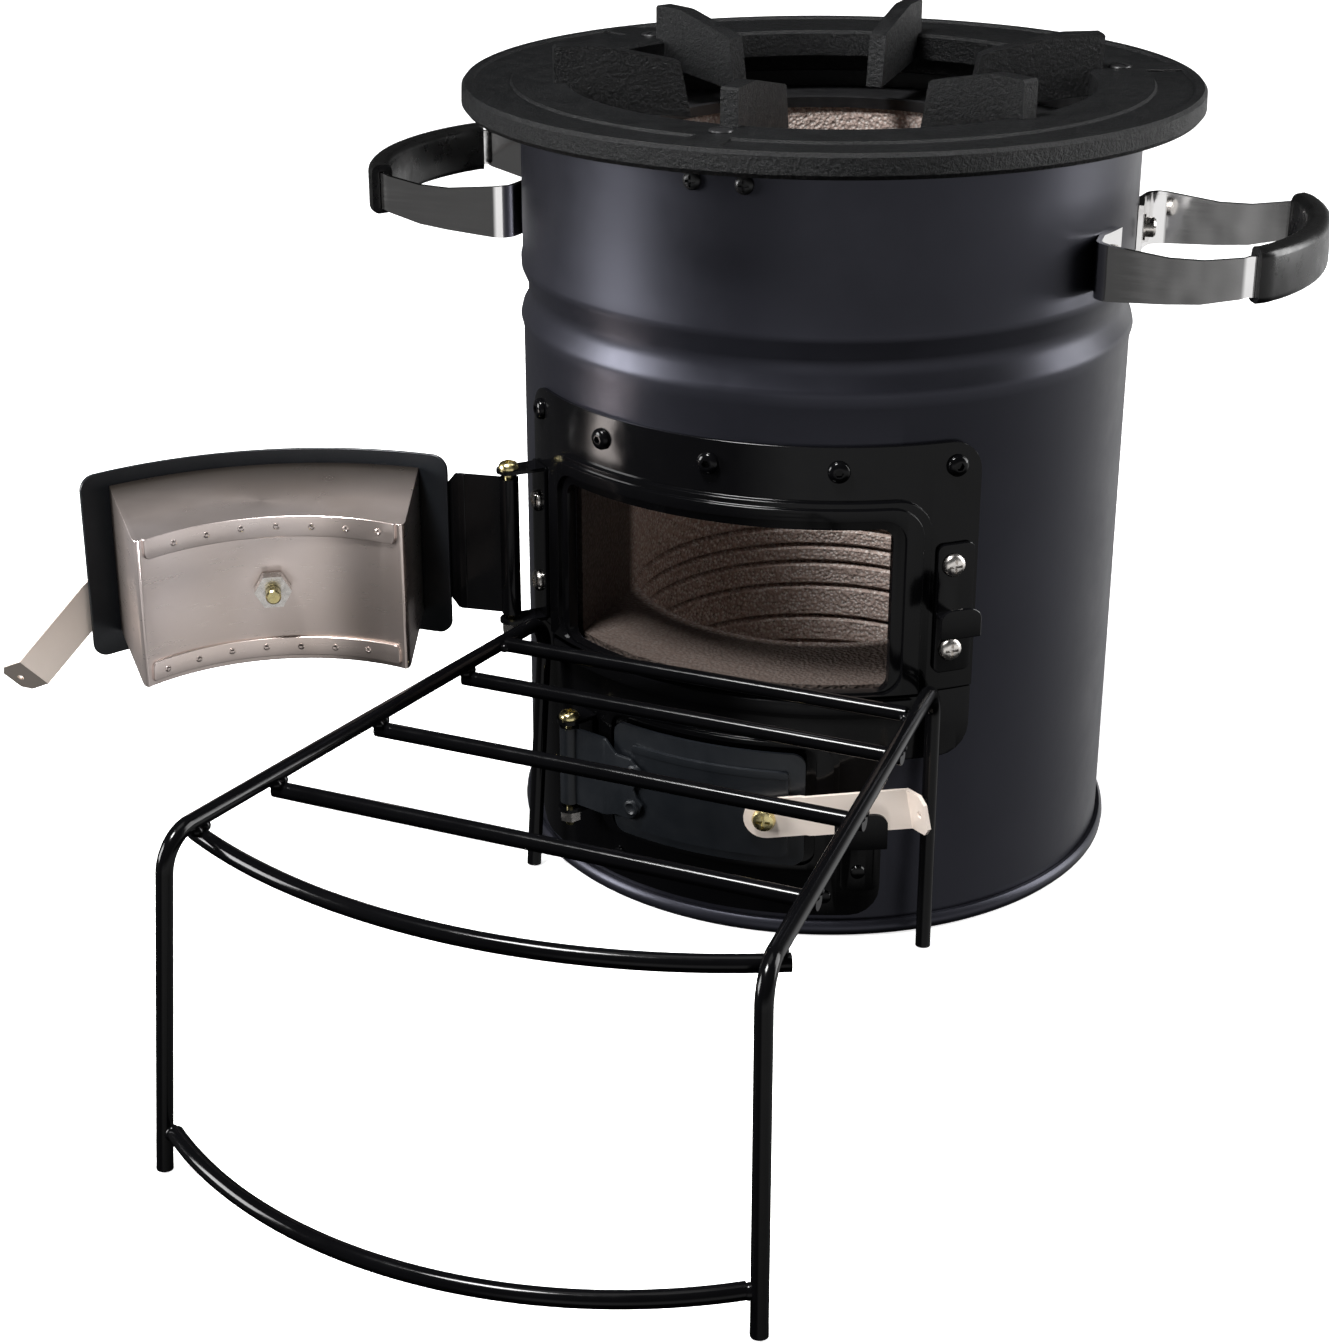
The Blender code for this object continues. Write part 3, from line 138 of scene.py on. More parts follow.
# fixed sockets; grain, dark and light of the colour; grain and stops of the roughness; grain, strength, depth of bumps
FINISHES = {
    "drum_paint": (dict(Metallic=0.72, Specular_IOR_Level=0.45),
        (14, 3, 0.5), (0.022, 0.0225, 0.0305), (0.032, 0.0325, 0.043),
        (38, 5, 0.6), (0.3, 0.33), (0.7, 0.41),
        ((420, 3, 0.6), 0.12, 0.00008), ((1600, 2, 0.5), 0.1, 0.00003)),
    "gloss_black": (dict(Metallic=0.0, Specular_IOR_Level=0.15),
        (30, 3), (0.0012, 0.0012, 0.0014), (0.0024, 0.0024, 0.0028),
        (90, 4), (0.3, 0.1), (0.75, 0.19), ((260, 2, 0.4), 0.12, 0.00012)),
    "cast_iron": (dict(Metallic=0.0, Specular_IOR_Level=0.2),
        (45, 4), (0.0012, 0.0013, 0.0015), (0.0036, 0.0039, 0.0043),
        (160, 4), (0.3, 0.36), (0.75, 0.54), ((620, 5, 0.75), 0.9, 0.0009), ((520,), 0.25, 0.0004)),
    "door_paint": (dict(Metallic=0.3, Specular_IOR_Level=0.5),
        (25, 3), (0.0066, 0.0079, 0.0101), (0.0105, 0.0125, 0.0156),
        (120, 5), (0.3, 0.3), (0.75, 0.42), ((500, 3, 0.6), 0.2, 0.00008)),
    "latch_steel": (dict(Metallic=0.45), (40, 4), (0.86, 0.735, 0.64), (0.96, 0.86, 0.78),
        (1.0, 3, 0.6, (60, 60, 900)), (0.3, 0.28), (0.75, 0.44),
        ((1.0, 3, 0.6, (60, 60, 900)), 0.12, 0.00004)),
    "brass": (dict(Metallic=1.0), (300, 4), (0.62, 0.5, 0.2), (0.82, 0.74, 0.42),
        (600, 3), (0.3, 0.18), (0.7, 0.34), ((1500, 2), 0.15, 0.00004)),
    "zinc": (dict(Metallic=1.0), (350, 4), (0.58, 0.55, 0.52), (0.84, 0.8, 0.76),
        (500, 3), (0.3, 0.16), (0.7, 0.33), ((1400, 2), 0.15, 0.00004)),
    "chrome": (dict(Metallic=1.0), (20, 3), (0.78, 0.77, 0.765), (0.9, 0.89, 0.885),
        (1.0, 4, 0.6, (50, 50, 700)), (0.3, 0.06), (0.8, 0.16), ((26, 2), 0.35, 0.0012)),
    "rubber": (dict(Specular_IOR_Level=0.32), (60, 4), (0.002, 0.002, 0.002), (0.005, 0.005, 0.005),
        (150, 4), (0.3, 0.22), (0.75, 0.42), ((45, 3, 0.5), 0.2, 0.0005), ((900, 2), 0.15, 0.00006)),
    "black_steel": (dict(Metallic=0.3), (60, 4), (0.006, 0.006, 0.0065), (0.014, 0.014, 0.015),
        (200, 4), (0.3, 0.3), (0.75, 0.5), ((400, 3), 0.2, 0.0001)),
    "floor_white": (dict(Specular_IOR_Level=0.2, Emission_Color=(1, 1, 1, 1), Emission_Strength=0.75),
        (3, 2), (0.93, 0.93, 0.93), (0.96, 0.96, 0.96), (40, 2), (0.3, 0.5), (0.7, 0.6)),
}


def finish(name):
    fixed, tint, dark, light, rough, low, high, *bumps = FINISHES[name]
    s = Shader(name)
    s.set(**fixed)
    s.link(s.mix(s.grain(*tint), dark, light), "Base Color")
    s.link(s.ramp(s.grain(*rough), low, high), "Roughness")
    for grain, strength, depth in bumps:
        s.bump(s.grain(*grain), strength, depth)
    return s.mat


def stainless(name):
    """Brushed steel with patches of heat tint, browner and darker towards the door panel, with painted shade in the
    seam where the box meets the panel.
    """
    s = Shader(name)
    s.set(Metallic=0.9, Anisotropic=0.35)
    brush = s.grain(1.0, 3, 0.6, (60, 60, 1100))
    steel = s.mix(s.grain(26, 4, 0.6), (0.72, 0.625, 0.6), (0.93, 0.835, 0.805))
    steel = s.mix(s.ramp(s.grain(11, 3), (0.42, 0.0), (0.75, 1.0)), steel, (0.7, 0.59, 0.53))
    depth = s.math("ADD", s.radius(-0.12238, -0.24245), s.math("MULTIPLY", s.grain(18, 2, 0.5), 0.006))
    # first band: browner and darker towards the panel; second band: painted shade, near black in the seam at the panel
    for low, high, dark in ((0.5, 0.665, (0.16, 0.135, 0.115)), (0.655, 0.69, (0.035, 0.024, 0.019))):
        steel = s.mix(s.ramp(s.math("MULTIPLY", depth, 5.0), (low, 0.0), (high, 1.0)), steel, dark)
    s.link(steel, "Base Color")
    s.link(s.ramp(brush, (0.3, 0.27), (0.75, 0.31)), "Roughness")
    s.bump(brush, 0.035, 0.00004)
    s.bump(s.grain(55, 3, 0.5), 0.1, 0.0003)
    return s.mat


def refractory(name):
    """Speckled fireclay, with painted shade that makes it browner and darker in the throats than round the bore."""
    s = Shader(name)
    s.set(Specular_IOR_Level=0.2)
    cells, speck = s.grain(620), s.grain(700, 4, 0.7)
    base = s.mix(s.grain(22, 4), (0.22, 0.165, 0.142), (0.37, 0.295, 0.262))
    base = s.mix(s.ramp(cells, (0.1, 1.0), (0.55, 0.0)), base, (0.5, 0.46, 0.43))
    base = s.mix(s.ramp(speck, (0.55, 0.0), (0.68, 1.0)), base, (0.1, 0.085, 0.075))
    # painted shade: outside the bore's radius the throats are darkened and browned in place of shadow
    throat_shade = s.mix(0.92, base, (0.03, 0.021, 0.017))
    base = s.mix(s.ramp(s.math("MULTIPLY", s.radius(0.0, 0.0), 5.0), (0.405, 0.0), (0.425, 1.0)), base, throat_shade)
    s.link(base, "Base Color")
    s.link(s.ramp(speck, (0.3, 0.8), (0.7, 0.98)), "Roughness")
    s.bump(cells, 0.7, 0.0009)
    s.bump(speck, 0.5, 0.0006)
    return s.mat


SPECIAL = {"stainless": stainless, "refractory": refractory}
MADE = {}


def material(name):
    if name not in MADE:
        MADE[name] = SPECIAL.get(name, finish)(name)
    return MADE[name]


MM = 0.001
GAP = 0.3 * MM


def mm(*values):
    return tuple(v * MM for v in values)


def points_mm(*points):
    return [mm(*p) for p in points]


# drum
SHELL_R, SHELL_WALL, SHELL_TOP, SEAM_R = mm(125.0, 1.2, 311.8, 128.2)
CASTING_R, BORE_R, CASTING_TOP, FLOOR_TOP = mm(123.3, 80.0, 293.0, 24.0)

# cooktop ring
RING_TOP = 321.9 * MM
RIB_COUNT = 6
RIB_WIDTH = 7.0 * MM

# mouths
PLATE_R0, PLATE_R1, WRAP_R = mm(125.3, 126.8, 126.5)
FUEL_HALF = 31.5
FUEL_Z0, FUEL_Z1 = mm(108.2, 175.2)
ASH_HALF = 15.5
ASH_Z0, ASH_Z1 = mm(39.0, 79.0)
THROAT_HALF = 65.5 * MM

# fuel door
FUEL_AXIS = Vector((*mm(-97.1, -103.1), 0))
FUEL_OPEN = 147.0
FUEL_MID_Z = 140.5 * MM
FUEL_PANEL_R = 133.5 * MM
FUEL_PANEL_HALF = 33.0
FUEL_PANEL_Z = mm(99.6, 177.7)
FUEL_BARREL_Z = mm(111.5, 170.5)
FUEL_LATCH_TH = 25.0
FUEL_LATCH_Z = 136.6 * MM
FUEL_LATCH_DROP = 41.5

# ash door
ASH_AXIS = Vector((138.0 * sin(radians(-26.8)) * MM, -138.0 * cos(radians(-26.8)) * MM, 0))
ASH_PANEL_R = 131.6 * MM
ASH_PANEL_HALF = 17.8
ASH_PANEL_Z = mm(34.5, 83.0)
ASH_BARREL_Z = mm(41.0, 75.0)
ASH_LATCH_TH = 11.2
ASH_LATCH_Z = 56.0 * MM
ASH_LATCH_TILT = 11.0

# shared fittings
SHEET, BARREL_R, PIN_HOLE_R, PIN_R = mm(1.5, 4.0, 1.95, 1.85)
LATCH_WIDTH, LATCH_REACH, LATCH_TAB = mm(16.6, 57.5, 11.8)
LATCH_TAB_BEND = 51.0
LATCH_HOLE_R, LATCH_SHANK_R = mm(2.65, 2.55)

# handles
STRAP_SHEET = 2.0 * MM
STRAP_SPANS = ((0.0, 253.6, 275.8), (126.0, 253.8, 275.5), (150.0, 255.2, 272.8), (163.0, 256.5, 273.1),
    (174.0, 258.6, 274.2), (179.5, 261.0, 276.4), (220.0, 261.0, 276.4))
HANDLE_HALF, HANDLE_BOW_R, HANDLE_OUT, HANDLE_BOLT_Z = mm(48.0, 95.2, 195.2, 265.0)
GRIP_Z = mm(258.9, 279.6)

# rack
WIRE_R = 3.0 * MM
RACK_FOOT_FRONT = mm(109.0, -355.0)
RACK_FOOT_REAR = mm(85.9, -110.0)
RACK_TOP_FRONT = mm(104.9, -345.1, 124.0)
RACK_TOP_REAR = mm(83.1, -100.4, 110.3)
RACK_STOP_BAR_Y = -136.3 * MM
RACK_BARS_Y = mm(-161.0, -221.0, -284.0)


# ---------------- pieces


def new_object(name, data):
    ob = bpy.data.objects.new(name, data)
    bpy.context.scene.collection.objects.link(ob)
    return ob


def add_object(name, mesh, mat="gloss_black", smooth=40.0, parent=None):
    """Visible piece for one node of the frame, on that node's body; most are black enamel."""
    if parent is not None:
        mesh.transform(parent)
    ob = new_object("look_" + name, mesh)
    mesh.materials.clear()
    mesh.materials.append(material(mat))
    for poly in mesh.polygons:
        poly.use_smooth = True
    mesh.set_sharp_from_angle(angle=radians(smooth))
    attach(ob, BODY_OF[name])
    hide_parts(name)


def hinge_place(location, turn=0.0, parent=None):
    """The matrix that carries a hinge's pieces."""
    place = Matrix.Translation(location) @ Matrix.Rotation(turn, 4, "Z")
    return place if parent is None else parent @ place


def soften(bm, width, segments, angle=28.0, merge=True):
    """Small rounding on sharp edges."""
    if merge:
        bmesh.ops.dissolve_limit(bm, angle_limit=0.002, verts=bm.verts, edges=bm.edges)
    sharp = [e for e in bm.edges if len(e.link_faces) == 2 and e.calc_face_angle(0) > radians(angle)]
    bmesh.ops.bevel(bm, geom=sharp, offset=width, segments=segments, profile=0.6, affect="EDGES",
        clamp_overlap=True, loop_slide=True)


def load(*meshes):
    """Working copy of one or more meshes."""
    bm = bmesh.new()
    for mesh in meshes:
        bm.from_mesh(mesh)
    return bm


def save(bm):
    """Mesh of a working copy as it stands."""
    mesh = bpy.data.meshes.new("shape")
    bm.to_mesh(mesh)
    bm.free()
    return mesh


def to_mesh(bm):
    """Mesh of a closed working copy, its faces turned outwards."""
    bmesh.ops.recalc_face_normals(bm, faces=bm.faces)
    if bm.calc_volume(signed=True) < 0:
        bmesh.ops.reverse_faces(bm, faces=bm.faces)
    return save(bm)


# ---------------- solids


def circle(r, n):
    return [(r * cos(2 * pi * i / n), r * sin(2 * pi * i / n)) for i in range(n)]


def rect(x0, x1, y0, y1):
    return [(x0, y0), (x1, y0), (x1, y1), (x0, y1)]


def bridge(bm, a, b):
    """Band of faces between two closed loops."""
    n = len(a)
    for i in range(n):
        bm.faces.new((a[i], a[(i + 1) % n], b[(i + 1) % n], b[i]))


def aimed(mesh, where, direction):
    """Mesh made about +Z, moved to a point and turned to a direction."""
    turn = Vector(direction).normalized().to_track_quat("Z", "Y").to_matrix().to_4x4()
    mesh.transform(Matrix.Translation(Vector(where)) @ turn)
    return mesh


def lathe(profile, segments=192):
    """Closed (radius, z) profile turned about the Z axis; a point at radius 0 closes on the axis."""
    bm = bmesh.new()
    rings = []
    for r, z in profile:
        if r < 1e-6:
            rings.append([bm.verts.new((0, 0, z))])
        else:
            rings.append([bm.verts.new((x, y, z)) for x, y in circle(r, segments)])
    for a, b in zip(rings, rings[1:] + rings[:1]):
        for i in range(segments):
            j = (i + 1) % segments
            corners = [a[i % len(a)], a[j % len(a)], b[j % len(b)], b[i % len(b)]]
            unique = []
            for v in corners:
                if v not in unique:
                    unique.append(v)
            if len(unique) > 2:
                bm.faces.new(unique)
    return to_mesh(bm)


def plain_centre(mesh, r=0.05):
    """Underside at z = 0 with one three-cornered face about the axis in place of the fan of wedges."""
    bm = load(mesh)
    hub = min(bm.verts, key=lambda v: v.co.length)
    rim = sorted((e.other_vert(hub) for e in hub.link_edges), key=lambda v: atan2(v.co.y, v.co.x))
    bmesh.ops.delete(bm, geom=[hub], context="VERTS")
    middle = [bm.verts.new((r * cos(t), r * sin(t), 0)) for t in (0.3, 0.3 + 2 * pi / 3, 0.3 + 4 * pi / 3)]
    bm.faces.new(middle)
    both = rim + middle
    for tri in tessellate_polygon([[v.co for v in rim], [v.co for v in middle]]):
        bm.faces.new([both[i] for i in tri])
    return to_mesh(bm)


def slab(loops, y0, y1):
    """Flat plate between y0 and y1: the first loop of (x, z) points is the outline, the rest are holes."""
    bm = bmesh.new()
    low, high = [], []
    for loop in loops:
        low.append([bm.verts.new((x, y0, z)) for x, z in loop])
        high.append([bm.verts.new((x, y1, z)) for x, z in loop])
    flat_low = [v for loop in low for v in loop]
    flat_high = [v for loop in high for v in loop]
    for tri in tessellate_polygon([[Vector((x, z, 0)) for x, z in loop] for loop in loops]):
        bm.faces.new([flat_low[i] for i in tri])
        bm.faces.new([flat_high[i] for i in reversed(tri)])
    for lo, hi in zip(low, high):
        bridge(bm, lo, hi)
    return to_mesh(bm)


def stand(loops, z0, z1):
    """Upright prism between z0 and z1 of closed (x, y) loops: an outline, then its holes."""
    mesh = slab(loops, z0, z1)
    mesh.transform(Matrix(((1, 0, 0, 0), (0, 0, 1, 0), (0, 1, 0, 0), (0, 0, 0, 1))))
    mesh.flip_normals()
    return mesh


def cylinder(r, start, end, sides=48):
    """Cylinder between two points."""
    start, end = Vector(start), Vector(end)
    direction = (end - start).normalized()
    turn = direction.to_track_quat("Z", "Y").to_matrix()
    bm = bmesh.new()
    loops = []
    for centre in (start, end):
        loops.append([bm.verts.new(centre + turn @ Vector((x, y, 0))) for x, y in circle(r, sides)])
    bm.faces.new(loops[0][::-1])
    bm.faces.new(loops[1])
    bridge(bm, *loops)
    return to_mesh(bm)


def turned(profile, start, direction, sides=36):
    """Turned part: (radius, distance) profile along a direction from a start point."""
    return aimed(lathe(profile, sides), start, direction)


def sweep(path, section, closed_hole=None):
    """Section of (side, up) points carried along a path; an inner section leaves a passage right through."""
    bm = bmesh.new()
    count = len(path)
    loops, holes = [], []
    up_hint = None
    for i, point in enumerate(path):
        ahead = (path[min(i + 1, count - 1)] - path[max(i - 1, 0)]).normalized()
        if 0 < i < count - 1:
            a = (path[i] - path[i - 1]).normalized()
            b = (path[i + 1] - path[i]).normalized()
            ahead = (a + b).normalized()
            stretch = 1 / max(0.5, ahead.dot(a))
        else:
            stretch = 1.0
        if up_hint is None:
            up_hint = Vector((0, 0, 1)) if abs(ahead.z) < 0.9 else Vector((0, 1, 0))
        side = ahead.cross(up_hint).normalized()
        up = side.cross(ahead).normalized()
        up_hint = up
        loops.append([bm.verts.new(point + side * (u * stretch) + up * v) for u, v in section])
        if closed_hole:
            holes.append([bm.verts.new(point + side * (u * stretch) + up * v) for u, v in closed_hole])
    for rows in (loops, holes):
        for a, b in zip(rows, rows[1:]):
            bridge(bm, a, b)
    for end in (0, -1):
        if closed_hole:
            bridge(bm, loops[end], holes[end])
        else:
            bm.faces.new(loops[end])
    return to_mesh(bm)


def rod(path):
    return sweep(path, circle(WIRE_R, 24))


def round_corners(points, radius, steps=6):
    """Polyline with its inner corners replaced by arcs."""
    points = [Vector(p) for p in points]
    out = [points[0]]
    for prev, here, nxt in zip(points, points[1:], points[2:]):
        a, b = (prev - here), (nxt - here)
        da, db = a.normalized(), b.normalized()
        half = da.angle(db) / 2
        reach = min(radius / max(1e-6, sin(half) / cos(half)), 0.48 * a.length, 0.48 * b.length)
        p0, p1 = here + da * reach, here + db * reach
        r = reach * sin(half) / cos(half)
        centre = here + (da + db).normalized() * (r / sin(half))
        v0, v1 = p0 - centre, p1 - centre
        angle = v0.angle(v1)
        for k in range(steps + 1):
            t = k / steps
            out.append(centre + (v0 * sin((1 - t) * angle) + v1 * sin(t * angle)) / sin(angle))
    out.append(points[-1])
    return out


def rounded_rect(x0, x1, z0, z1, radius, steps=8, corners=(1, 1, 1, 1)):
    """Corner order: low x low z, high x low z, high x high z, low x high z; a factor scales each radius."""
    out = []
    for (cx, cz, start), k in zip(((x0, z0, pi), (x1, z0, 1.5 * pi), (x1, z1, 0), (x0, z1, 0.5 * pi)), corners):
        r = radius * k
        mx = cx + r if cx == x0 else cx - r
        mz = cz + r if cz == z0 else cz - r
        if r <= 0:
            out.append((cx, cz))
            continue
        out += [(mx + r * cos(start + 0.5 * pi * i / steps),
            mz + r * sin(start + 0.5 * pi * i / steps)) for i in range(steps + 1)]
    return out


def arc_mm(angle):
    """Arc length along the plates for an angle round the drum."""
    return radians(angle) * WRAP_R


def plate_rect(a0, a1, z0, z1, radius, **extra):
    return rounded_rect(arc_mm(a0), arc_mm(a1), z0, z1, radius, **extra)


def plate_mm(a0, a1, z0, z1, radius, **extra):
    return plate_rect(a0, a1, *mm(z0, z1, radius), **extra)


def round_hole(x, z, r, sides=40):
    return [(x + u, z + v) for u, v in circle(r, sides)]


def combine(base, others, operation):
    """Exact boolean of a mesh with others, one after another."""
    helper = new_object("helper_base", base)
    tools = []
    for other in others:
        tool = new_object("helper_tool", other)
        mod = helper.modifiers.new("combine", "BOOLEAN")
        mod.operation = operation
        mod.solver = "EXACT"
        mod.object = tool
        tools.append(tool)
    graph = bpy.context.evaluated_depsgraph_get()
    graph.update()
    result = bpy.data.meshes.new_from_object(helper.evaluated_get(graph))
    for ob in [helper] + tools:
        bpy.data.objects.remove(ob, do_unlink=True)
    return tidy(result)


def tidy(mesh, distance=0.000003):
    bm = load(mesh)
    bmesh.ops.remove_doubles(bm, verts=bm.verts, dist=distance)
    for _ in range(6):
        # a long open edge beside two short ones is split where they meet
        loose = [e for e in bm.edges if len(e.link_faces) == 1]
        ends = list(dict.fromkeys(v for e in loose for v in e.verts))
        split = False
        for edge in loose:
            a, b = edge.verts
            span = b.co - a.co
            for v in ends:
                if v in (a, b) or span.length < distance:
                    continue
                t = (v.co - a.co).dot(span) / span.length_squared
                if 0.001 < t < 0.999 and (a.co + span * t - v.co).length < distance:
                    bmesh.utils.edge_split(edge, a, t)
                    split = True
                    break
        if not split:
            break
        bmesh.ops.remove_doubles(bm, verts=bm.verts, dist=distance)
    bm.to_mesh(mesh)
    bm.free()
    return mesh


def fuse(*meshes):
    return combine(meshes[0], meshes[1:], "UNION")


def cut(mesh, *tools):
    return combine(mesh, tools, "DIFFERENCE")


def wrap(mesh, step=1.25, soft=0.55 * MM):
    """Bend a flat plate round the drum: x is arc length, y is radius."""
    bm = load(mesh)
    if soft:
        soften(bm, soft, 3)
    xs = [v.co.x for v in bm.verts]
    pitch = arc_mm(step)
    k = int(min(xs) / pitch) - 1
    while k * pitch < max(xs):
        if k * pitch > min(xs):
            geom = list(bm.verts) + list(bm.edges) + list(bm.faces)
            bmesh.ops.bisect_plane(bm, geom=geom, dist=1e-6, plane_co=(k * pitch, 0, 0), plane_no=(1, 0, 0))
        k += 1
    bmesh.ops.triangulate(bm, faces=bm.faces, ngon_method="EAR_CLIP")
    for v in bm.verts:
        angle, r = v.co.x / WRAP_R, v.co.y
        v.co = (r * sin(angle), -r * cos(angle), v.co.z)
    return to_mesh(bm)


def round_point(r, angle, z):
    return Vector((r * sin(radians(angle)), -r * cos(radians(angle)), z))


def outward(angle):
    return Vector((sin(radians(angle)), -cos(radians(angle)), 0))


def along(angle):
    return Vector((cos(radians(angle)), sin(radians(angle)), 0))


def moved(mesh, offset):
    mesh.transform(Matrix.Translation(offset))
    return mesh


def spun(mesh, angle):
    mesh.transform(Matrix.Rotation(radians(angle), 4, "Z"))
    return mesh


def joined(*meshes):
    """Several closed shells in one mesh."""
    return save(load(*meshes))


def box_bands():
    """Folded bands along the top and bottom of the plug box's inner face, with spot welds."""
    parts = []
    for z0, z1, first, corners in ((161.4, 170.0, -33.0, (1, 1, 0.3, 0.3)),
            (111.0, 118.8, -28.0, (0.3, 0.3, 1, 1))):
        band = slab([plate_rect(-38.6, 38.6, z0 * MM, z1 * MM, 3.4 * MM, corners=corners)], *mm(75.9, 77.6))
        parts.append(wrap(band, soft=0.4 * MM))
        for k in range(7):
            a = first + 10.3 * k
            spot = round_point(76.0 * MM, a, ((z0 + z1) / 2 + 0.4 * sin(5 * k)) * MM)
            parts.append(turned(points_mm((0, 0), (1.35, 0), (1.25, 0.25), (0.85, 0.42), (0.5, 0.22), (0, 0.18)),
                spot, -outward(a), 20))
    return parts


def weld(point, r=2.4 * MM, tall=0.9):
    """Small bead of weld metal."""
    bm = bmesh.new()
    bmesh.ops.create_uvsphere(bm, u_segments=20, v_segments=12, radius=r)
    for v in bm.verts:
        v.co *= 1 + 0.08 * sin(900 * v.co.x + 500 * v.co.z) * cos(800 * v.co.y)
        v.co.z *= tall
        v.co += Vector(point)
    return to_mesh(bm)


# ---------------- fasteners


def pan_head(r, height):
    """Profile of a domed screw head, from its seat upwards."""
    return [(0, 0), (r, 0), (r, 0.35 * height), (0.86 * r, 0.75 * height), (0.5 * r, height), (0, height)]


def dome(r, height, radius, angle, z):
    """Domed head standing on a curved plate."""
    return turned(pan_head(r, height), round_point(radius, angle, z), outward(angle))


def cross_tool(a, b, z0, z1, where, direction):
    """Upright cross, arms a long and b wide from the middle, to cut a driver recess."""
    outline = [(-a, -b), (-b, -b), (-b, -a), (b, -a), (b, -b), (a, -b), (a, b), (b, b), (b, a), (-b, a), (-b, b),
        (-a, b)]
    return aimed(stand([outline], z0, z1), where, direction)


def cross_screw(name, where, direction, r, height, mat, parent=None):
    """Domed head with a cross recess."""
    head = turned(pan_head(r, height), where, direction)
    tool = cross_tool(0.6 * r, 0.13 * r, 0.55 * height, 1.6 * height, where, direction)
    add_object(name, cut(head, tool), mat, parent=parent)


def hex_nut(name, where, direction, across, height, hole_r, mat, parent=None):
    """Nut with its hole on the axis through where."""
    mesh = stand([circle(across / sqrt(3), 6), circle(hole_r, 18)], 0, height)
    add_object(name, aimed(mesh, where, direction), mat, smooth=30, parent=parent)


# ---------------- body


def build_drum():
    w = SHELL_WALL
    outside = [(0.0, 3.0), (0.0, 221.0), (1.1, 225.5), (0.4, 228.5), (-2.1, 233.0), (-2.1, 240.0), (0.6, 246.5),
        (0.7, 250.0), (0.0, 253.0), (0.0, SHELL_TOP / MM)]
    outside = [(SHELL_R + r * MM, z * MM) for r, z in outside]
    inside = [(r - w, z) for r, z in reversed(outside)]
    shell = lathe(outside + inside, 240)
    fuel_cut = wrap(slab([plate_rect(-FUEL_HALF - 1, FUEL_HALF + 1, FUEL_Z0 - MM, FUEL_Z1 + MM, 5 * MM)],
        *mm(118, 130)), soft=0)
    ash_cut = wrap(slab([plate_rect(-ASH_HALF - 1, ASH_HALF + 1, ASH_Z0 - MM, ASH_Z1 + MM, 4 * MM)], *mm(118, 130)),
        soft=0)
    add_object("outer_shell", cut(shell, fuel_cut, ash_cut), "drum_paint")

    s = SHELL_R + GAP
    pan = [(0, 0), (126.8, 0), (128.0, 1.2), (SEAM_R / MM, 3.0), (128.0, 4.8), (126.8, 6.0), (s / MM, 6.0),
        (s / MM, 2.7), (0, 2.7)]
    add_object("base_pan", plain_centre(lathe(points_mm(*pan), 240)), "drum_paint")

    # thick insulating casting: grooved bore, fuel throat and ash throat
    inside = []
    for z in (96.5, 87.5, 79.0, 67.5, 51.5, 38.5):
        inside += [(BORE_R, (z + 1.8) * MM), (BORE_R + 2.4 * MM, z * MM), (BORE_R, (z - 1.8) * MM)]
    r = CASTING_R - 2.6 * MM
    outside = [(BORE_R, 3.0 * MM), (r, 3.0 * MM), (r, CASTING_TOP), (BORE_R, CASTING_TOP)]
    casting = lathe(outside + inside, 128)
    fuel = stand([rect(-THROAT_HALF, THROAT_HALF, -0.14, -0.03)], FUEL_Z0 - 0.6 * MM, FUEL_Z1 + 0.8 * MM)
    half = 34.5 * MM
    ash = stand([rect(-half, half, -0.14, -0.03)], ASH_Z0 - 4 * MM, ASH_Z1)
    add_object("refractory_casting", cut(casting, fuel, ash), "refractory", smooth=30)
    add_object("chamber_floor", lathe([mm(0, 3.0), mm(79.5, 3.0), mm(79.5, 22.5), (78 * MM, FLOOR_TOP),
        (0, FLOOR_TOP)], 128), "refractory")
    deck = [(78.6, 293.3), (123.3, 293.3), (123.3, 301.5), (122.1, 301.5), (122.1, 294.8), (80.6, 294.8),
        (80.0, 298.2), (78.2, 297.8)]
    add_object("top_deck", lathe(points_mm(*deck), 192), "black_steel")


def build_cooktop():
    profile = [(106.0, 320.6), (106.0, 311.0), (118.6, 309.6), (118.6, 302.5), (121.2, 302.5), (121.2, 312.2),
        (147.0, 312.2), (148.4, 314.0), (148.2, 320.4), (147.0, 321.9), (143.8, 321.9), (143.0, 320.9),
        (128.8, 320.9), (128.0, 321.9), (107.4, 321.9)]
    ring = lathe(points_mm(*profile), 240)
    outline = [(56.8, 307.0), (61.0, 328.4), (63.0, 329.4), (93.0, 336.0), (96.0, 336.3), (110.6, 336.3),
        (111.6, 335.3), (111.6, 321.0), (107.0, 320.0), (107.0, 311.6), (104.0, 311.0)]
    ribs = [spun(slab([points_mm(*outline)], -RIB_WIDTH / 2, RIB_WIDTH / 2), 60 * k - 90) for k in range(RIB_COUNT)]
    lands = [spun(wrap(slab([rounded_rect(*mm(-7, 7, 319.5, 321.9), 0)], *mm(127.4, 143.6))),
        120 * k) for k in range(3)]
    add_object("cooktop_ring", fuse(ring, *ribs, *lands), "cast_iron", smooth=35)
    for k in range(3):
        where = round_point(119.5 * MM, 120 * k, RING_TOP + 0.2 * MM)
        head = turned(points_mm((0, 0), (4.6, 0), (4.3, 0.6), (2.5, 1.1), (0, 1.2)), where, (0, 0, 1))
        slot = stand([rect(*mm(-5, 5, -0.5, 0.5))], *mm(0.6, 3))
        slot.transform(Matrix.Translation(where) @ Matrix.Rotation(radians(120 * k + 25), 4, "Z"))
        add_object("ring_screw_%d" % (k + 1), cut(head, slot), "black_steel")
    for k, angle in enumerate((-4.1, 5.2)):
        cross_screw("collar_screw_%d" % (k + 1), round_point(SHELL_R + 0.2 * MM, angle, 304.4 * MM), outward(angle),
            *mm(3.6, 2.0), "black_steel")


def quarter(n):
    return [pi / 2 * i / n for i in range(n + 1)]


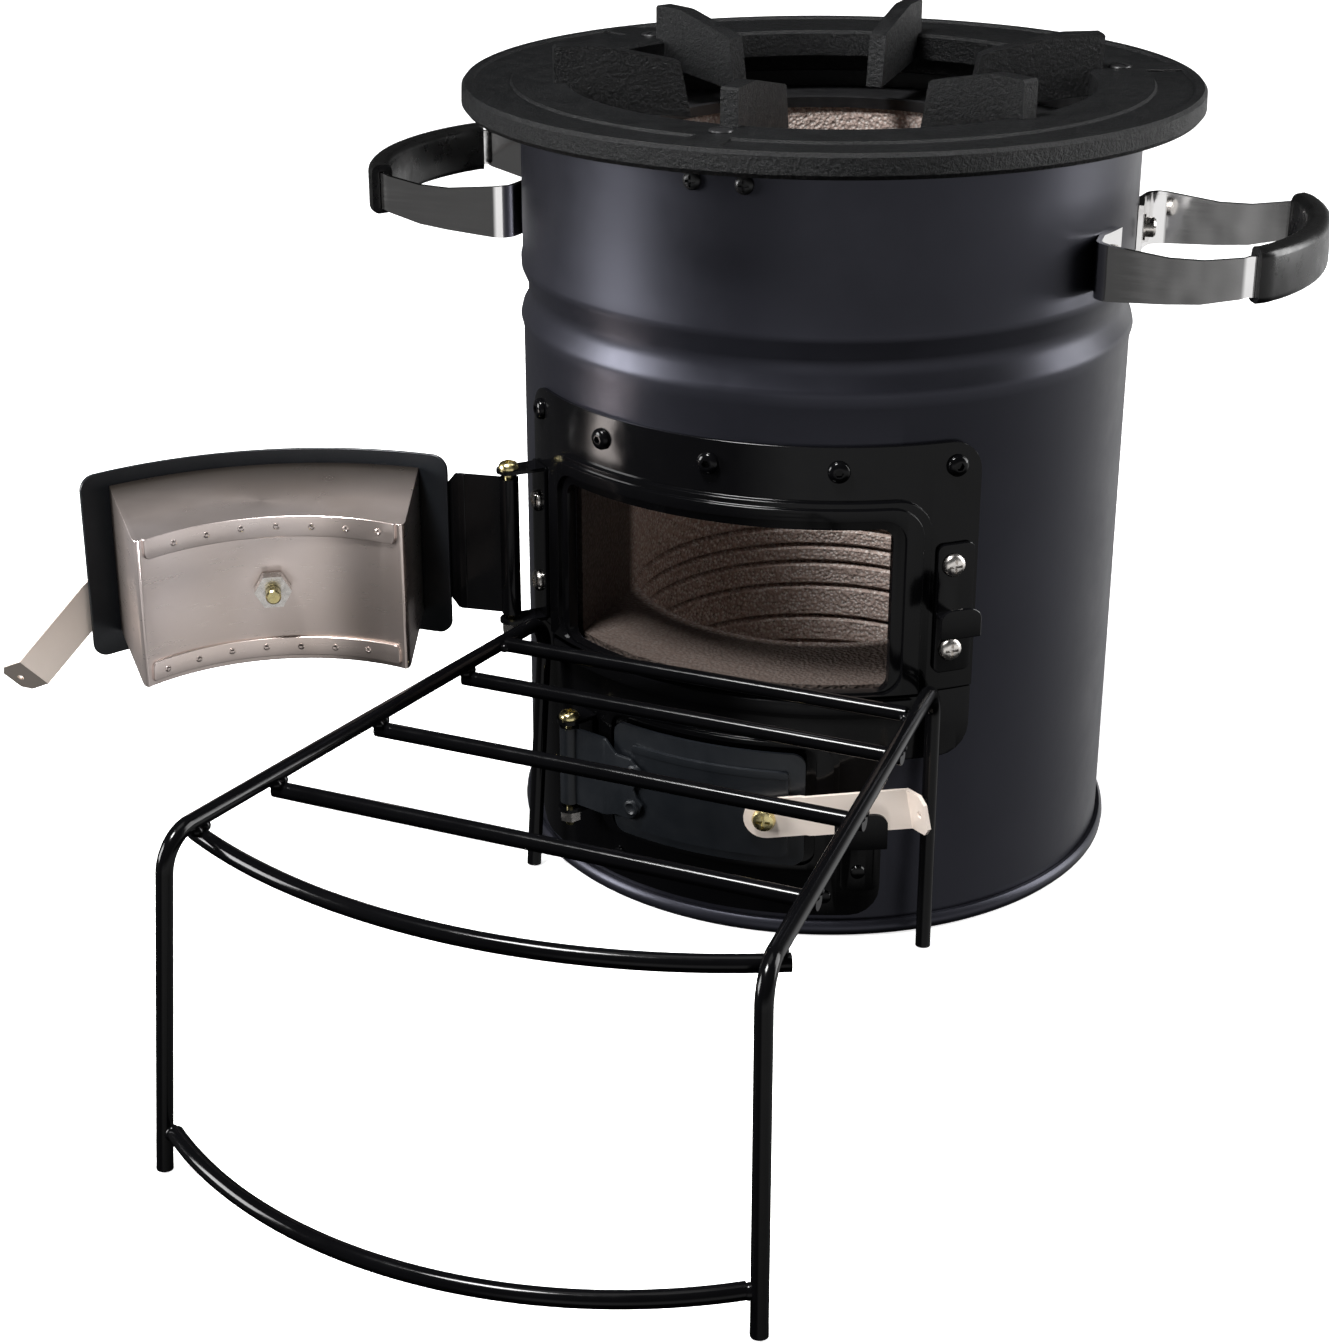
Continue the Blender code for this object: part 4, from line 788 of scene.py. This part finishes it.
def build_surrounds():
    hole = plate_rect(-FUEL_HALF, FUEL_HALF, FUEL_Z0, FUEL_Z1, 5 * MM)
    plate = slab([plate_mm(-47.6, 47.6, 105.6, 207.0, 13, corners=(0, 0, 1, 1)), hole], PLATE_R0, PLATE_R1)
    lip = slab([plate_mm(-38.2, 38.2, 106.4, 185.6, 13, corners=(0, 0, 1, 1)), hole], PLATE_R0 + 0.4 * MM,
        129.4 * MM)
    bead = slab([plate_mm(-36.6, 36.6, 107.0, 183.4, 12, corners=(0, 0, 1, 1)),
        plate_mm(-33.6, 33.6, 107.4, 179.0, 9)], *mm(128.8, 131.3))
    add_object("upper_surround", wrap(fuse(plate, lip, bead)), smooth=30)

    ash_hole = plate_rect(-ASH_HALF, ASH_HALF, ASH_Z0, ASH_Z1, 4 * MM)
    x0, x1, xn = arc_mm(-46.5), arc_mm(47.4), arc_mm(31.6)
    z0, z1, zn = mm(9.0, 105.2, 77.0)
    r = 12 * MM
    outline = [(x0 + r * (1 - sin(t)), z0 + r * (1 - cos(t))) for t in quarter(5)[::-1]]
    outline += [(xn - r + r * sin(t), z0 + r - r * cos(t)) for t in quarter(5)]
    q = 5 * MM
    outline += [(xn + q - q * cos(t), zn - q + q * sin(t)) for t in quarter(4)]
    outline += [(x1 - r + r * sin(t), zn + r - r * cos(t)) for t in quarter(5)]
    outline += [(x1, z1), (x0, z1)]
    plate = slab([outline, ash_hole], PLATE_R0, PLATE_R1)
    lip = slab([plate_mm(-23.6, 23.6, 29.5, 88.0, 10), ash_hole], PLATE_R0 + 0.4 * MM, 128.6 * MM)
    bead = slab([plate_mm(-22.6, 22.6, 31.0, 86.5, 9), plate_mm(-19.6, 19.6, 33.2, 84.4, 6)], *mm(128.0, 130.4))
    sill = slab([plate_mm(-37.6, 37.6, 97.0, 105.0, 6, corners=(1, 1, 0, 0))], PLATE_R0 + 0.4 * MM, 129.4 * MM)
    step = slab([plate_mm(-35.6, 35.6, 99.4, 104.6, 5, corners=(1, 1, 0, 0))], *mm(128.8, 131.3))
    lower = wrap(fuse(plate, lip, bead, sill, step))
    domes = [dome(*mm(3.0, 1.6), PLATE_R1 - 0.3 * MM, angle, z * MM) for angle, z in ((-19.0, 19.5), (21.5, 17.5))]
    add_object("lower_surround", fuse(lower, *domes), smooth=30)
    for k, angle in enumerate((-43.6, -23.0, -0.5, 22.1, 42.8)):
        head = dome(*mm(4.3, 2.4), PLATE_R1 + 0.2 * MM, angle, 197.6 * MM)
        socket = turned(points_mm((0, 0), (1.7, 0), (1.7, 3), (0, 3)),
            round_point(PLATE_R1 + 1.4 * MM, angle, 197.6 * MM), outward(angle), 6)
        add_object("surround_screw_%d" % (k + 1), cut(head, socket))


def build_catch(name, base_angles, base_z, hook_angles, hook_z0, hook_z1, hook_r, rivets):
    base = slab([plate_rect(*base_angles, *base_z, 3 * MM)], PLATE_R1 + 0.25 * MM, PLATE_R1 + 1.75 * MM)
    shelf = slab([plate_rect(max(hook_angles[0], base_angles[0]), min(hook_angles[1], base_angles[1]), hook_z0,
        hook_z0 + 1.5 * MM, 0)], PLATE_R1 + 0.6 * MM, hook_r - 0.4 * MM)
    tongue = slab([plate_rect(*hook_angles, hook_z0, hook_z1, 4.5 * MM, corners=(0, 0, 1, 1))], hook_r - 1.5 * MM,
        hook_r)
    hook = wrap(fuse(base, shelf, tongue))
    domes = [dome(*mm(3.0, 1.6), PLATE_R1 + 1.5 * MM, a, z) for a, z in rivets]
    if domes:
        hook = fuse(hook, *domes)
    add_object(name, hook, smooth=30)


def build_catches():
    build_catch("fuel_catch", (39.6, 46.6), mm(113.5, 166.5), (36.9, 43.2), *mm(137.2, 149.0, 150.4), [])
    build_catch("ash_catch", (24.3, 31.0), mm(21.0, 52.2), (22.4, 30.3), *mm(50.7, 65.6, 149.6),
        [(28.6, 44.0 * MM), (27.4, 29.5 * MM)])
    for k, z in enumerate((158.1, 123.3)):
        cross_screw("catch_screw_%d" % (k + 1), round_point(PLATE_R1 + 1.95 * MM, 42.5, z * MM), outward(42.5),
            *mm(4.6, 2.4), "zinc")


def tongue_outline(axis, reach, base_r, base_half):
    """Ear outline in plan: rounded end about the hinge axis, straight sides down to the plate."""
    centre = Vector((axis.x, axis.y))
    out = centre.normalized()
    side = Vector((-out.y, out.x))
    root = out * base_r
    points = [centre + out * (reach * cos(t)) + side * (reach * sin(t)) for t in
        [-pi / 2 + pi * i / 12 for i in range(13)]]
    points += [root + side * base_half, root - side * base_half]
    return [(p.x, p.y) for p in points]


def build_bracket(name, axis, angles, z_range, ear_half):
    """Plate on the surround with an ear above and below the hinge barrel."""
    z0, z1 = z_range
    base = wrap(slab([plate_rect(*angles, z0, z1, 2 * MM)], PLATE_R1 + 0.25 * MM, PLATE_R1 + 1.75 * MM), 2.0)
    outline = tongue_outline(axis, 5.0 * MM, PLATE_R1 + 0.9 * MM, ear_half)
    low = stand([outline], z0, z0 + SHEET)
    high = stand([outline], z1 - SHEET, z1)
    bracket = fuse(base, low, high)
    hole = cylinder(PIN_HOLE_R, (axis.x, axis.y, z0 - 0.01), (axis.x, axis.y, z1 + 0.01))
    add_object(name, cut(bracket, hole), smooth=30)


def build_pin(prefix, axis, z0, z1):
    """Hinge screw with a cross-head on top and a nut below."""
    top = Vector((axis.x, axis.y, z1 + 0.2 * MM))
    length = z1 - z0 + 7.2 * MM
    profile = [(0, -length), (PIN_R * 0.85, -length), (PIN_R, -length + 0.4 * MM), (PIN_R, 0), mm(4.1, 0),
        mm(4.1, 1.0), mm(3.4, 2.2), mm(1.9, 2.9), mm(0, 2.9)]
    pin = turned(profile, top, (0, 0, 1))
    tool = cross_tool(*mm(2.5, 0.5, 1.5, 5), top, (0, 0, 1))
    add_object(prefix + "_hinge_pin", cut(pin, tool), "brass")
    hex_nut(prefix + "_hinge_nut", (axis.x, axis.y, z0 - 4.4 * MM), (0, 0, 1), *mm(7.6, 4.0), PIN_R + 0.15 * MM,
        "zinc")


def build_hinges():
    build_bracket("fuel_hinge_bracket", FUEL_AXIS, (-47.2, -40.8), mm(107.6, 174.4), 5.2 * MM)
    build_pin("fuel", FUEL_AXIS, *mm(107.6, 174.4))
    build_bracket("ash_hinge_bracket", ASH_AXIS, (-31.5, -25.2), mm(37.4, 78.6), 5.0 * MM)
    build_pin("ash", ASH_AXIS, *mm(37.4, 78.6))
    for k, z in enumerate((158.2, 123.0)):
        cross_screw("bracket_screw_%d" % (k + 1), round_point(PLATE_R1 + 1.95 * MM, -44.0, z * MM), outward(-44.0),
            *mm(4.4, 2.4), "zinc")


# ---------------- doors


def hinge_strap(axis, barrel_z, plate_r, link_angle, end_angle, strap_z, rivets):
    """Strap on the door face with a wavy end, rolled into a barrel at the hinge."""
    x0, x1 = arc_mm(link_angle), arc_mm(end_angle)
    z0, z1 = strap_z
    mid = (z0 + z1) / 2
    wave = [(x1, z0 + 4 * MM), (x1 + 1.2 * MM, z0 + 8 * MM), (x1 - 1.5 * MM, mid - 3 * MM), (x1 - 2.6 * MM, mid),
        (x1 - 1.5 * MM, mid + 3 * MM), (x1 + 1.2 * MM, z1 - 8 * MM), (x1, z1 - 4 * MM)]
    outline = [(x0, barrel_z[0]), (x0 + 4 * MM, barrel_z[0]), (x0 + 9 * MM, z0), (x1 - 4 * MM, z0)] + wave
    outline += [(x1 - 4 * MM, z1), (x0 + 9 * MM, z1), (x0 + 4 * MM, barrel_z[1]), (x0, barrel_z[1])]
    plate = wrap(slab([outline], plate_r, plate_r + SHEET))
    domes = [turned(points_mm((0, 0), (3.6, 0), (3.3, 1.0), (2.4, 1.3), (1.3, 0.7), (0, 0.7)),
        round_point(plate_r + SHEET - 0.3 * MM, a, z), outward(a)) for a, z in rivets]
    # link from the strap to the barrel, in plan
    start = Vector(round_point(plate_r + SHEET / 2, link_angle + 1.0, 0)[:2])
    centre = Vector((axis.x, axis.y))
    direction = (start - centre).normalized()
    side = Vector((-direction.y, direction.x)) * (SHEET / 2)
    near = centre + direction * (BARREL_R - 0.8 * MM)
    far = start + direction * 0.6 * MM
    link = stand([[tuple(near - side), tuple(far - side), tuple(far + side), tuple(near + side)]], *barrel_z)
    barrel = cylinder(BARREL_R, (axis.x, axis.y, barrel_z[0]), (axis.x, axis.y, barrel_z[1]))
    solid = fuse(plate, link, barrel, *domes)
    return cut(solid, cylinder(PIN_HOLE_R, (axis.x, axis.y, barrel_z[0] - 0.01),
        (axis.x, axis.y, barrel_z[1] + 0.01)))


def add_door_piece(name, mesh, axis, hinge, mat="door_paint", smooth=30):
    add_object(name, moved(mesh, -axis), mat, smooth, hinge)


def latch_strip(reach):
    """Flat strip, pivot at the origin, running along +X with its face towards -Y and a bent tab with a hole."""
    h = LATCH_WIDTH / 2
    round_end = [(-h * sin(t), h * cos(t)) for t in [pi * i / 12 for i in range(13)]]
    step_x = 16.0 * MM
    outline = round_end + [(step_x, -h), (step_x, h)]
    near = slab([outline, round_hole(0, 0, LATCH_HOLE_R)], -SHEET, 0)
    far = stand([[(step_x - 0.4 * MM, 0), (step_x - 0.4 * MM, -SHEET), (step_x + 1.6 * MM, -SHEET - 1.0 * MM),
        (reach, -SHEET - 1.0 * MM), (reach + 0.72 * MM, -1.0 * MM), (step_x + 2.0 * MM, -1.0 * MM)]], -h, h)
    # tab bent outwards, with clipped corners and a hole
    clip = 3.2 * MM
    tab = slab([[(-0.7 * MM, -h), (LATCH_TAB - clip, -h), (LATCH_TAB, clip - h), (LATCH_TAB, h - clip),
        (LATCH_TAB - clip, h), (-0.7 * MM, h)], round_hole(7.2 * MM, 0, 1.4 * MM, 12)], -SHEET, 0)
    a = radians(LATCH_TAB_BEND)
    corner = Vector((reach + SHEET * sin(a), -SHEET - 1.0 * MM + SHEET * cos(a), 0))
    tab.transform(Matrix.Translation(corner) @ Matrix.Rotation(-a, 4, "Z"))
    return fuse(near, far, tab)


def latch_screw(name, where, direction, parent=None):
    """Shouldered pivot screw with a cross-head."""
    profile = [(0, 0), (LATCH_SHANK_R, 0), (LATCH_SHANK_R, 2.4 * MM), mm(4.7, 2.4), mm(4.7, 3.3), mm(4.0, 4.6),
        mm(2.2, 5.2), mm(0, 5.2)]
    screw = turned(profile, where, direction)
    tool = cross_tool(*mm(2.8, 0.55, 3.9, 7), where, direction)
    add_object(name, cut(screw, tool), "brass", parent=parent)


def add_latch(prefix, radius, angle, z, tilt, back, hinge):
    """Pivot screw and latch strip of a door."""
    spot = round_point(radius, angle, z)
    latch_screw(prefix + "_latch_screw", spot + back, outward(angle), parent=hinge)
    pivot = hinge_place(spot + outward(angle) * 0.4 * MM + back, radians(angle), hinge)
    strip = latch_strip(LATCH_REACH)
    strip.transform(Matrix.Rotation(radians(tilt), 4, "Y"))
    add_object(prefix + "_latch_strip", strip, "latch_steel", smooth=30, parent=pivot)


def plug_box():
    """Tapered box behind the fuel door: wide at the panel, narrow at its curved inner face."""
    rear_half, face_half = mm(62.0, 51.3)
    rear_r, face_r = FUEL_PANEL_R - GAP, 77.0 * MM
    rear_z, face_z = mm(108.7, 171.8), mm(109.0, 169.8)
    columns, bm = 48, bmesh.new()
    rows = []
    for r, half, z_pair in ((face_r, face_half, face_z), (rear_r, rear_half, rear_z)):
        span = degrees(atan2(half, sqrt(r * r - half * half)))
        angles = [-span + 2 * span * i / columns for i in range(columns + 1)]
        rows.append([[bm.verts.new(round_point(r, a, z)) for a in angles] for z in z_pair])
    (f0, f1), (r0, r1) = rows
    for i in range(columns):
        bm.faces.new((f0[i], f0[i + 1], f1[i + 1], f1[i]))
        bm.faces.new((r0[i], r1[i], r1[i + 1], r0[i + 1]))
        bm.faces.new((f1[i], f1[i + 1], r1[i + 1], r1[i]))
        bm.faces.new((f0[i + 1], f0[i], r0[i], r0[i + 1]))
    for i in (0, columns):
        quad = (f0[i], f1[i], r1[i], r0[i])
        bm.faces.new(quad)
    bmesh.ops.recalc_face_normals(bm, faces=bm.faces)
    upright = [e for e in bm.edges if abs(e.verts[0].co.z - e.verts[1].co.z) > 0.03 and len(e.link_faces) == 2 and
        e.calc_face_angle() > 0.9 and hypot(*e.verts[0].co[:2]) < 0.1]
    bmesh.ops.bevel(bm, geom=upright, offset=6 * MM, segments=4, profile=0.5, affect="EDGES")
    bm = load(to_mesh(bm))
    soften(bm, 1.8 * MM, 4, 50.0, merge=False)
    return save(bm)


def build_fuel_door():
    hinge = hinge_place(FUEL_AXIS, -radians(FUEL_OPEN))
    back = -FUEL_AXIS
    z0, z1 = FUEL_PANEL_Z
    bolt_r = 3.0 * MM
    hole = round_hole(0, FUEL_MID_Z, bolt_r + GAP, 18)
    panel = slab([plate_rect(-FUEL_PANEL_HALF, FUEL_PANEL_HALF, z0, z1, 6 * MM), hole], FUEL_PANEL_R,
        FUEL_PANEL_R + SHEET)
    tray = slab([plate_mm(-14.5, 15.5, 112.5, 168.5, 4), hole], FUEL_PANEL_R + 0.4 * MM, FUEL_PANEL_R + 3.0 * MM)
    add_door_piece("fuel_door_panel", wrap(fuse(panel, tray)), FUEL_AXIS, hinge)
    drill = cylinder(bolt_r + GAP, (0, -0.06, FUEL_MID_Z), (0, -0.15, FUEL_MID_Z), 18)
    add_door_piece("fuel_door_box", joined(cut(plug_box(), drill), *box_bands()), FUEL_AXIS, hinge, "stainless")
    strap = hinge_strap(FUEL_AXIS, FUEL_BARREL_Z, FUEL_PANEL_R + SHEET + GAP, -36.0, -17.5, mm(118, 164),
        [(-20.5, 154 * MM), (-21.5, 128 * MM)])
    add_door_piece("fuel_door_strap", strap, FUEL_AXIS, hinge, "gloss_black")
    bolt = turned([(0, 0), (bolt_r * 0.8, 0), (bolt_r, 0.6 * MM), (bolt_r, 72.2 * MM), mm(6.0, 72.2), mm(5.2, 74.6),
        mm(3.0, 75.8), mm(0, 75.8)], (0, -65.0 * MM, FUEL_MID_Z), (0, -1, 0))
    add_door_piece("fuel_door_bolt", bolt, FUEL_AXIS, hinge, "brass", 40)
    hex_nut("fuel_door_nut", Vector((0, -70.6 * MM, FUEL_MID_Z)) + back, (0, -1, 0), *mm(12.6, 5.4),
        bolt_r + 0.15 * MM, "zinc", parent=hinge)
    add_latch("fuel", FUEL_PANEL_R + SHEET + GAP, FUEL_LATCH_TH, FUEL_LATCH_Z, FUEL_LATCH_DROP, back, hinge)


def build_ash_door():
    hinge = hinge_place(ASH_AXIS)
    back = -ASH_AXIS
    z0, z1 = ASH_PANEL_Z
    h = ASH_PANEL_HALF
    panel = slab([plate_rect(-h, h, z0, z1, 5 * MM)], ASH_PANEL_R, ASH_PANEL_R + SHEET)
    tray = slab([plate_rect(-13.5, 15.0, z0 + 4 * MM, 75.5 * MM, 3.5 * MM)], ASH_PANEL_R + 0.4 * MM,
        ASH_PANEL_R + 2.9 * MM)
    rim = slab([plate_mm(-13.5, 15.0, 72.6, 75.5, 1.2)], ASH_PANEL_R + 2.0 * MM, ASH_PANEL_R + 3.1 * MM)
    add_door_piece("ash_door_panel", wrap(fuse(panel, tray, rim)), ASH_AXIS, hinge)
    strap = hinge_strap(ASH_AXIS, ASH_BARREL_Z, ASH_PANEL_R + 2.9 * MM + GAP, -20.5, -11.4, mm(43, 70),
        [(-12.3, 64.6 * MM), (-13.0, 48.6 * MM)])
    add_door_piece("ash_door_strap", strap, ASH_AXIS, hinge)
    add_latch("ash", ASH_PANEL_R + 2.9 * MM + GAP, ASH_LATCH_TH, ASH_LATCH_Z, -ASH_LATCH_TILT, back, hinge)


# ---------------- handles and rack


def strap_span(x):
    """Bottom and top of the handle strap at a distance from the drum axis."""
    x /= MM
    for (x0, a0, b0), (x1, a1, b1) in zip(STRAP_SPANS, STRAP_SPANS[1:]):
        if x <= x1:
            t = (x - x0) / (x1 - x0)
            return (a0 + (a1 - a0) * t) * MM, (b0 + (b1 - b0) * t) * MM
    return STRAP_SPANS[-1][1] * MM, STRAP_SPANS[-1][2] * MM


def ribbon(path, half, spans):
    """Upright flat bar along a level path, with its own bottom and top height at every point."""
    bm = bmesh.new()
    rows = []
    for i, point in enumerate(path):
        a = (point - path[max(i - 1, 0)]).normalized() if i else (path[1] - point).normalized()
        b = (path[i + 1] - point).normalized() if i + 1 < len(path) else a
        ahead = (a + b).normalized()
        side = Vector((-ahead.y, ahead.x, 0)) * (half / ahead.dot(a))
        z0, z1 = spans[i]
        rows.append([bm.verts.new((point.x + k * side.x, point.y + k * side.y, z)) for k,
            z in ((-1, z0), (1, z0), (1, z1), (-1, z1))])
    for a, b in zip(rows, rows[1:]):
        bridge(bm, a, b)
    bm.faces.new(rows[0])
    bm.faces.new(rows[-1])
    return to_mesh(bm)


def handle_path():
    """Front half of the handle in plan: foot on the drum, bend, arm, outer bend, bowed cross-piece."""
    flange_r = SHELL_R + GAP + STRAP_SHEET / 2
    foot = [round_point(flange_r, 90 - a, 0) for a in (8.5, 11.0, 13.5, 15.6, 17.2)]
    corner = Vector((124.4 * MM, -HANDLE_HALF, 0))
    centre = HANDLE_OUT - HANDLE_BOW_R
    bow = [Vector((centre + sqrt(HANDLE_BOW_R ** 2 - (y * MM) ** 2), y * MM, 0)) for y in (-48, -38, -35, -31, -27,
        -22, -17, -11, -5, 0)]
    inner = round_corners([foot[-1], corner, Vector((140 * MM, -HANDLE_HALF, 0))], 8.0 * MM, 12)[1:-1]
    arm = [Vector((x * MM, -HANDLE_HALF, 0)) for x in (138, 150, 163)]
    outer = round_corners([Vector((163 * MM, -HANDLE_HALF, 0)), bow[0], bow[1]], 8.0 * MM, 14)[1:-1]
    return foot[:-1] + inner + arm, outer, bow[1:]


def build_handles():
    t = STRAP_SHEET / 2
    root, outer, bow = handle_path()
    half_path = root + outer + bow
    path = half_path + [Vector((p.x, -p.y, 0)) for p in reversed(half_path[:-1])]
    spans = [strap_span(p.x) for p in path]
    z0, z1 = strap_span(0.2)
    mid, tall = (z0 + z1) / 2, z1 - z0
    half_grip = outer[len(outer) // 2:] + bow
    grip_path = half_grip + [Vector((p.x, -p.y, 0)) for p in reversed(half_grip[:-1])]
    grip_path = [Vector((p.x, p.y, mid)) for p in grip_path]
    low, high = GRIP_Z[0] - mid, GRIP_Z[1] - mid
    outer_section = rounded_rect(*mm(-4.8, 4.8), low, high, 3.2 * MM, steps=6)
    inner = rounded_rect(-t - GAP, t + GAP, -tall / 2 - GAP, tall / 2 + GAP, 0.2 * MM, steps=6)
    for sign, side in ((1, "right"), (-1, "left")):
        strap = ribbon(path, t, spans)
        grip = sweep(grip_path, outer_section, inner)
        if sign < 0:
            for mesh in (strap, grip):
                mesh.transform(Matrix.Scale(-1, 4, (1, 0, 0)))
                mesh.flip_normals()
        add_object("handle_strap_" + side, strap, "chrome", smooth=40)
        add_object("handle_grip_" + side, grip, "rubber", smooth=50)
        for k, s in enumerate((-1, 1)):
            angle = sign * (90 + s * 12.2)
            where = round_point(SHELL_R + GAP + 2 * t + 0.2 * MM, angle, HANDLE_BOLT_Z)
            head = turned(points_mm((0, 0), (5.4, 0), (5.4, 0.8), (4.0, 1.0), (4.0, 4.0), (3.2, 4.8), (0, 5.0)),
                where, outward(angle), 16)
            add_object("handle_bolt_%s_%d" % (side, k + 1), head, "zinc")


def rail_height(y):
    (_, y0, z0), (_, y1, z1) = RACK_TOP_FRONT, RACK_TOP_REAR
    return z0 + (z1 - z0) * (y - y0) / (y1 - y0)


def rail_offset(y):
    (x0, y0, _), (x1, y1, _) = RACK_TOP_FRONT, RACK_TOP_REAR
    return x0 + (x1 - x0) * (y - y0) / (y1 - y0)


def arc_path(half, y_end, y_apex, z, steps=48):
    rise = y_end - y_apex
    r = (half * half + rise * rise) / (2 * rise)
    span = atan2(half, r - rise)
    return [Vector((r * sin(span * (2 * i / steps - 1)), y_apex + r - r * cos(span * (2 * i / steps - 1)),
        z)) for i in range(steps + 1)]


def bead_pair(x, y, z, spread, *size):
    """Weld beads at both ends of a wire."""
    return [weld((s * x, y + t * spread, z), *size) for s in (-1, 1) for t in (-1, 1)]


def add_wire(name, path, *beads):
    add_object(name, joined(rod(path), *beads))


def build_rack():
    fx, fy = RACK_FOOT_FRONT
    rx, ry = RACK_FOOT_REAR
    for sign, side in ((-1, "left"), (1, "right")):
        corners = [Vector((sign * fx, fy, GAP)), Vector((sign * RACK_TOP_FRONT[0],) + RACK_TOP_FRONT[1:]),
            Vector((sign * RACK_TOP_REAR[0],) + RACK_TOP_REAR[1:]), Vector((sign * rx, ry, GAP))]
        add_object("rack_side_" + side, rod(round_corners(corners, 13 * MM, 16)))
    drop = 2 * WIRE_R + GAP
    x, z = rail_offset(RACK_STOP_BAR_Y) - WIRE_R - GAP, rail_height(RACK_STOP_BAR_Y) + 0.4 * MM
    add_wire("rack_bar_1", [Vector((-x, RACK_STOP_BAR_Y, z)), Vector((x, RACK_STOP_BAR_Y, z))],
        *bead_pair(x, RACK_STOP_BAR_Y, z - 0.6 * MM, 2.2 * MM, 2.1 * MM))
    for k, y in enumerate(RACK_BARS_Y):
        x, z = rail_offset(y) + 1.2 * MM, rail_height(y) - drop
        add_wire("rack_bar_%d" % (k + 2), [Vector((-x, y, z)), Vector((x, y, z))],
            *bead_pair(x - 1.6 * MM, y, z + 3.0 * MM, 1.9 * MM))
    z = rail_height(-0.327) - drop - 0.2 * MM
    add_wire("rack_front_arc", arc_path(*mm(106.4, -325.5, -352), z),
        *bead_pair(*mm(102.9, -327.5), z + 3.0 * MM, 2.2 * MM))
    add_wire("rack_lower_arc", arc_path(*mm(104.1, -354, -388, 15)),
        *[weld((s * 105.2 * MM, *mm(-354.1, 15)), 2.85 * MM, 1.0) for s in (-1, 1)])


# ---------------- floor, light, camera


def build_floor():
    bm = bmesh.new()
    n, half = 24, 3.0
    profile = [(-half, 0.0), (1.4, 0.0)]
    profile += [(1.4 + 0.8 * sin(pi / 2 * i / n), 0.8 - 0.8 * cos(pi / 2 * i / n)) for i in range(1, n + 1)]
    profile += [(2.2, 3.0)]
    rows = [[bm.verts.new((x, y, z - 0.0004)) for x in (-half, half)] for y, z in profile]
    for a, b in zip(rows, rows[1:]):
        bm.faces.new((a[0], a[1], b[1], b[0]))
    mesh = save(bm)
    mesh.transform(Matrix.Rotation(CAMERA_YAW, 4, "Z"))
    for poly in mesh.polygons:
        poly.use_smooth = True
    floor = new_object("floor", mesh)
    mesh.materials.append(material("floor_white"))
    floor.visible_glossy = floor.visible_diffuse = False


def add_softbox(name, where, aim, size, power):
    light = bpy.data.lights.new(name, "AREA")
    light.shape = "RECTANGLE"
    light.size, light.size_y = size
    light.energy = power
    ob = new_object(name, light)
    ob.location = where
    ob.rotation_euler = (Vector(aim) - Vector(where)).to_track_quat("-Z", "Y").to_euler()


CAMERA_AT = Vector((0.31909, -0.93198, 0.50287))
CAMERA_YAW = radians(23.958)
CAMERA_PITCH = radians(-21.594)
CAMERA_ROLL = radians(-0.382)


def build_camera():
    data = bpy.data.cameras.new("camera")
    data.sensor_fit = "AUTO"
    data.sensor_width = 36.0
    data.lens = 65.274
    data.shift_x = 0.0350
    data.shift_y = -0.0862
    data.clip_start, data.clip_end = 0.05, 20
    camera = new_object("camera", data)
    place = Matrix.Translation(CAMERA_AT)
    for angle, axis in ((CAMERA_YAW, "Z"), (pi / 2 + CAMERA_PITCH, "X"), (CAMERA_ROLL, "Z")):
        place @= Matrix.Rotation(angle, 4, axis)
    camera.matrix_world = place
    bpy.context.scene.camera = camera


def build_light():
    world = bpy.data.worlds.new("studio")
    bpy.context.scene.world = world
    world.use_nodes = True
    # soft glow about the horizon, dark below and dim above, weaker on the left
    nodes, links = world.node_tree.nodes, world.node_tree.links
    coord, split = nodes.new("ShaderNodeTexCoord"), nodes.new("ShaderNodeSeparateXYZ")
    half, ramp = nodes.new("ShaderNodeMath"), nodes.new("ShaderNodeValToRGB")
    half.operation = "MULTIPLY_ADD"
    half.inputs[1].default_value = half.inputs[2].default_value = 0.5
    stops = ((0.2, 0.02), (0.3, 0.7), (0.43, 1.0), (0.5, 0.6), (0.6, 0.1), (1.0, 0.04))
    fill_ramp(ramp, stops)
    links.new(coord.outputs["Generated"], split.inputs[0])
    links.new(split.outputs["Z"], half.inputs[0])
    links.new(half.outputs[0], ramp.inputs["Fac"])
    links.new(ramp.outputs["Color"], nodes["Background"].inputs["Color"])
    side = nodes.new("ShaderNodeMapRange")
    for socket, value in zip(side.inputs[1:5], (-0.2, 0.15, 0.08, 1.05)):
        socket.default_value = value
    links.new(split.outputs["X"], side.inputs["Value"])
    links.new(side.outputs[0], nodes["Background"].inputs["Strength"])
    turn = Matrix.Rotation(CAMERA_YAW, 3, "Z")
    for name, where, aim, size, power in (("pot", (-0.58, -0.52, 1.62), (0.03, 0.02, 0.1), (0.38, 0.38), 58),
            ("left", (-1.89, -0.23, 0.6), (0, 0, 0.2), (0.7, 0.8), 50),
            ("right", (1.8, 0.12, 0.75), (0, 0, 0.25), (0.8, 1.5), 42),
            ("top", (0.1, 0.1, 2.3), (0, 0, 0.2), (1.2, 0.9), 6)):
        add_softbox(name, turn @ Vector(where), aim, size, power)
    bpy.context.scene.view_settings.view_transform = "Standard"


build_drum()
build_cooktop()
build_surrounds()
build_catches()
build_hinges()
build_fuel_door()
build_ash_door()
build_handles()
build_rack()
build_floor()
build_light()
build_camera()
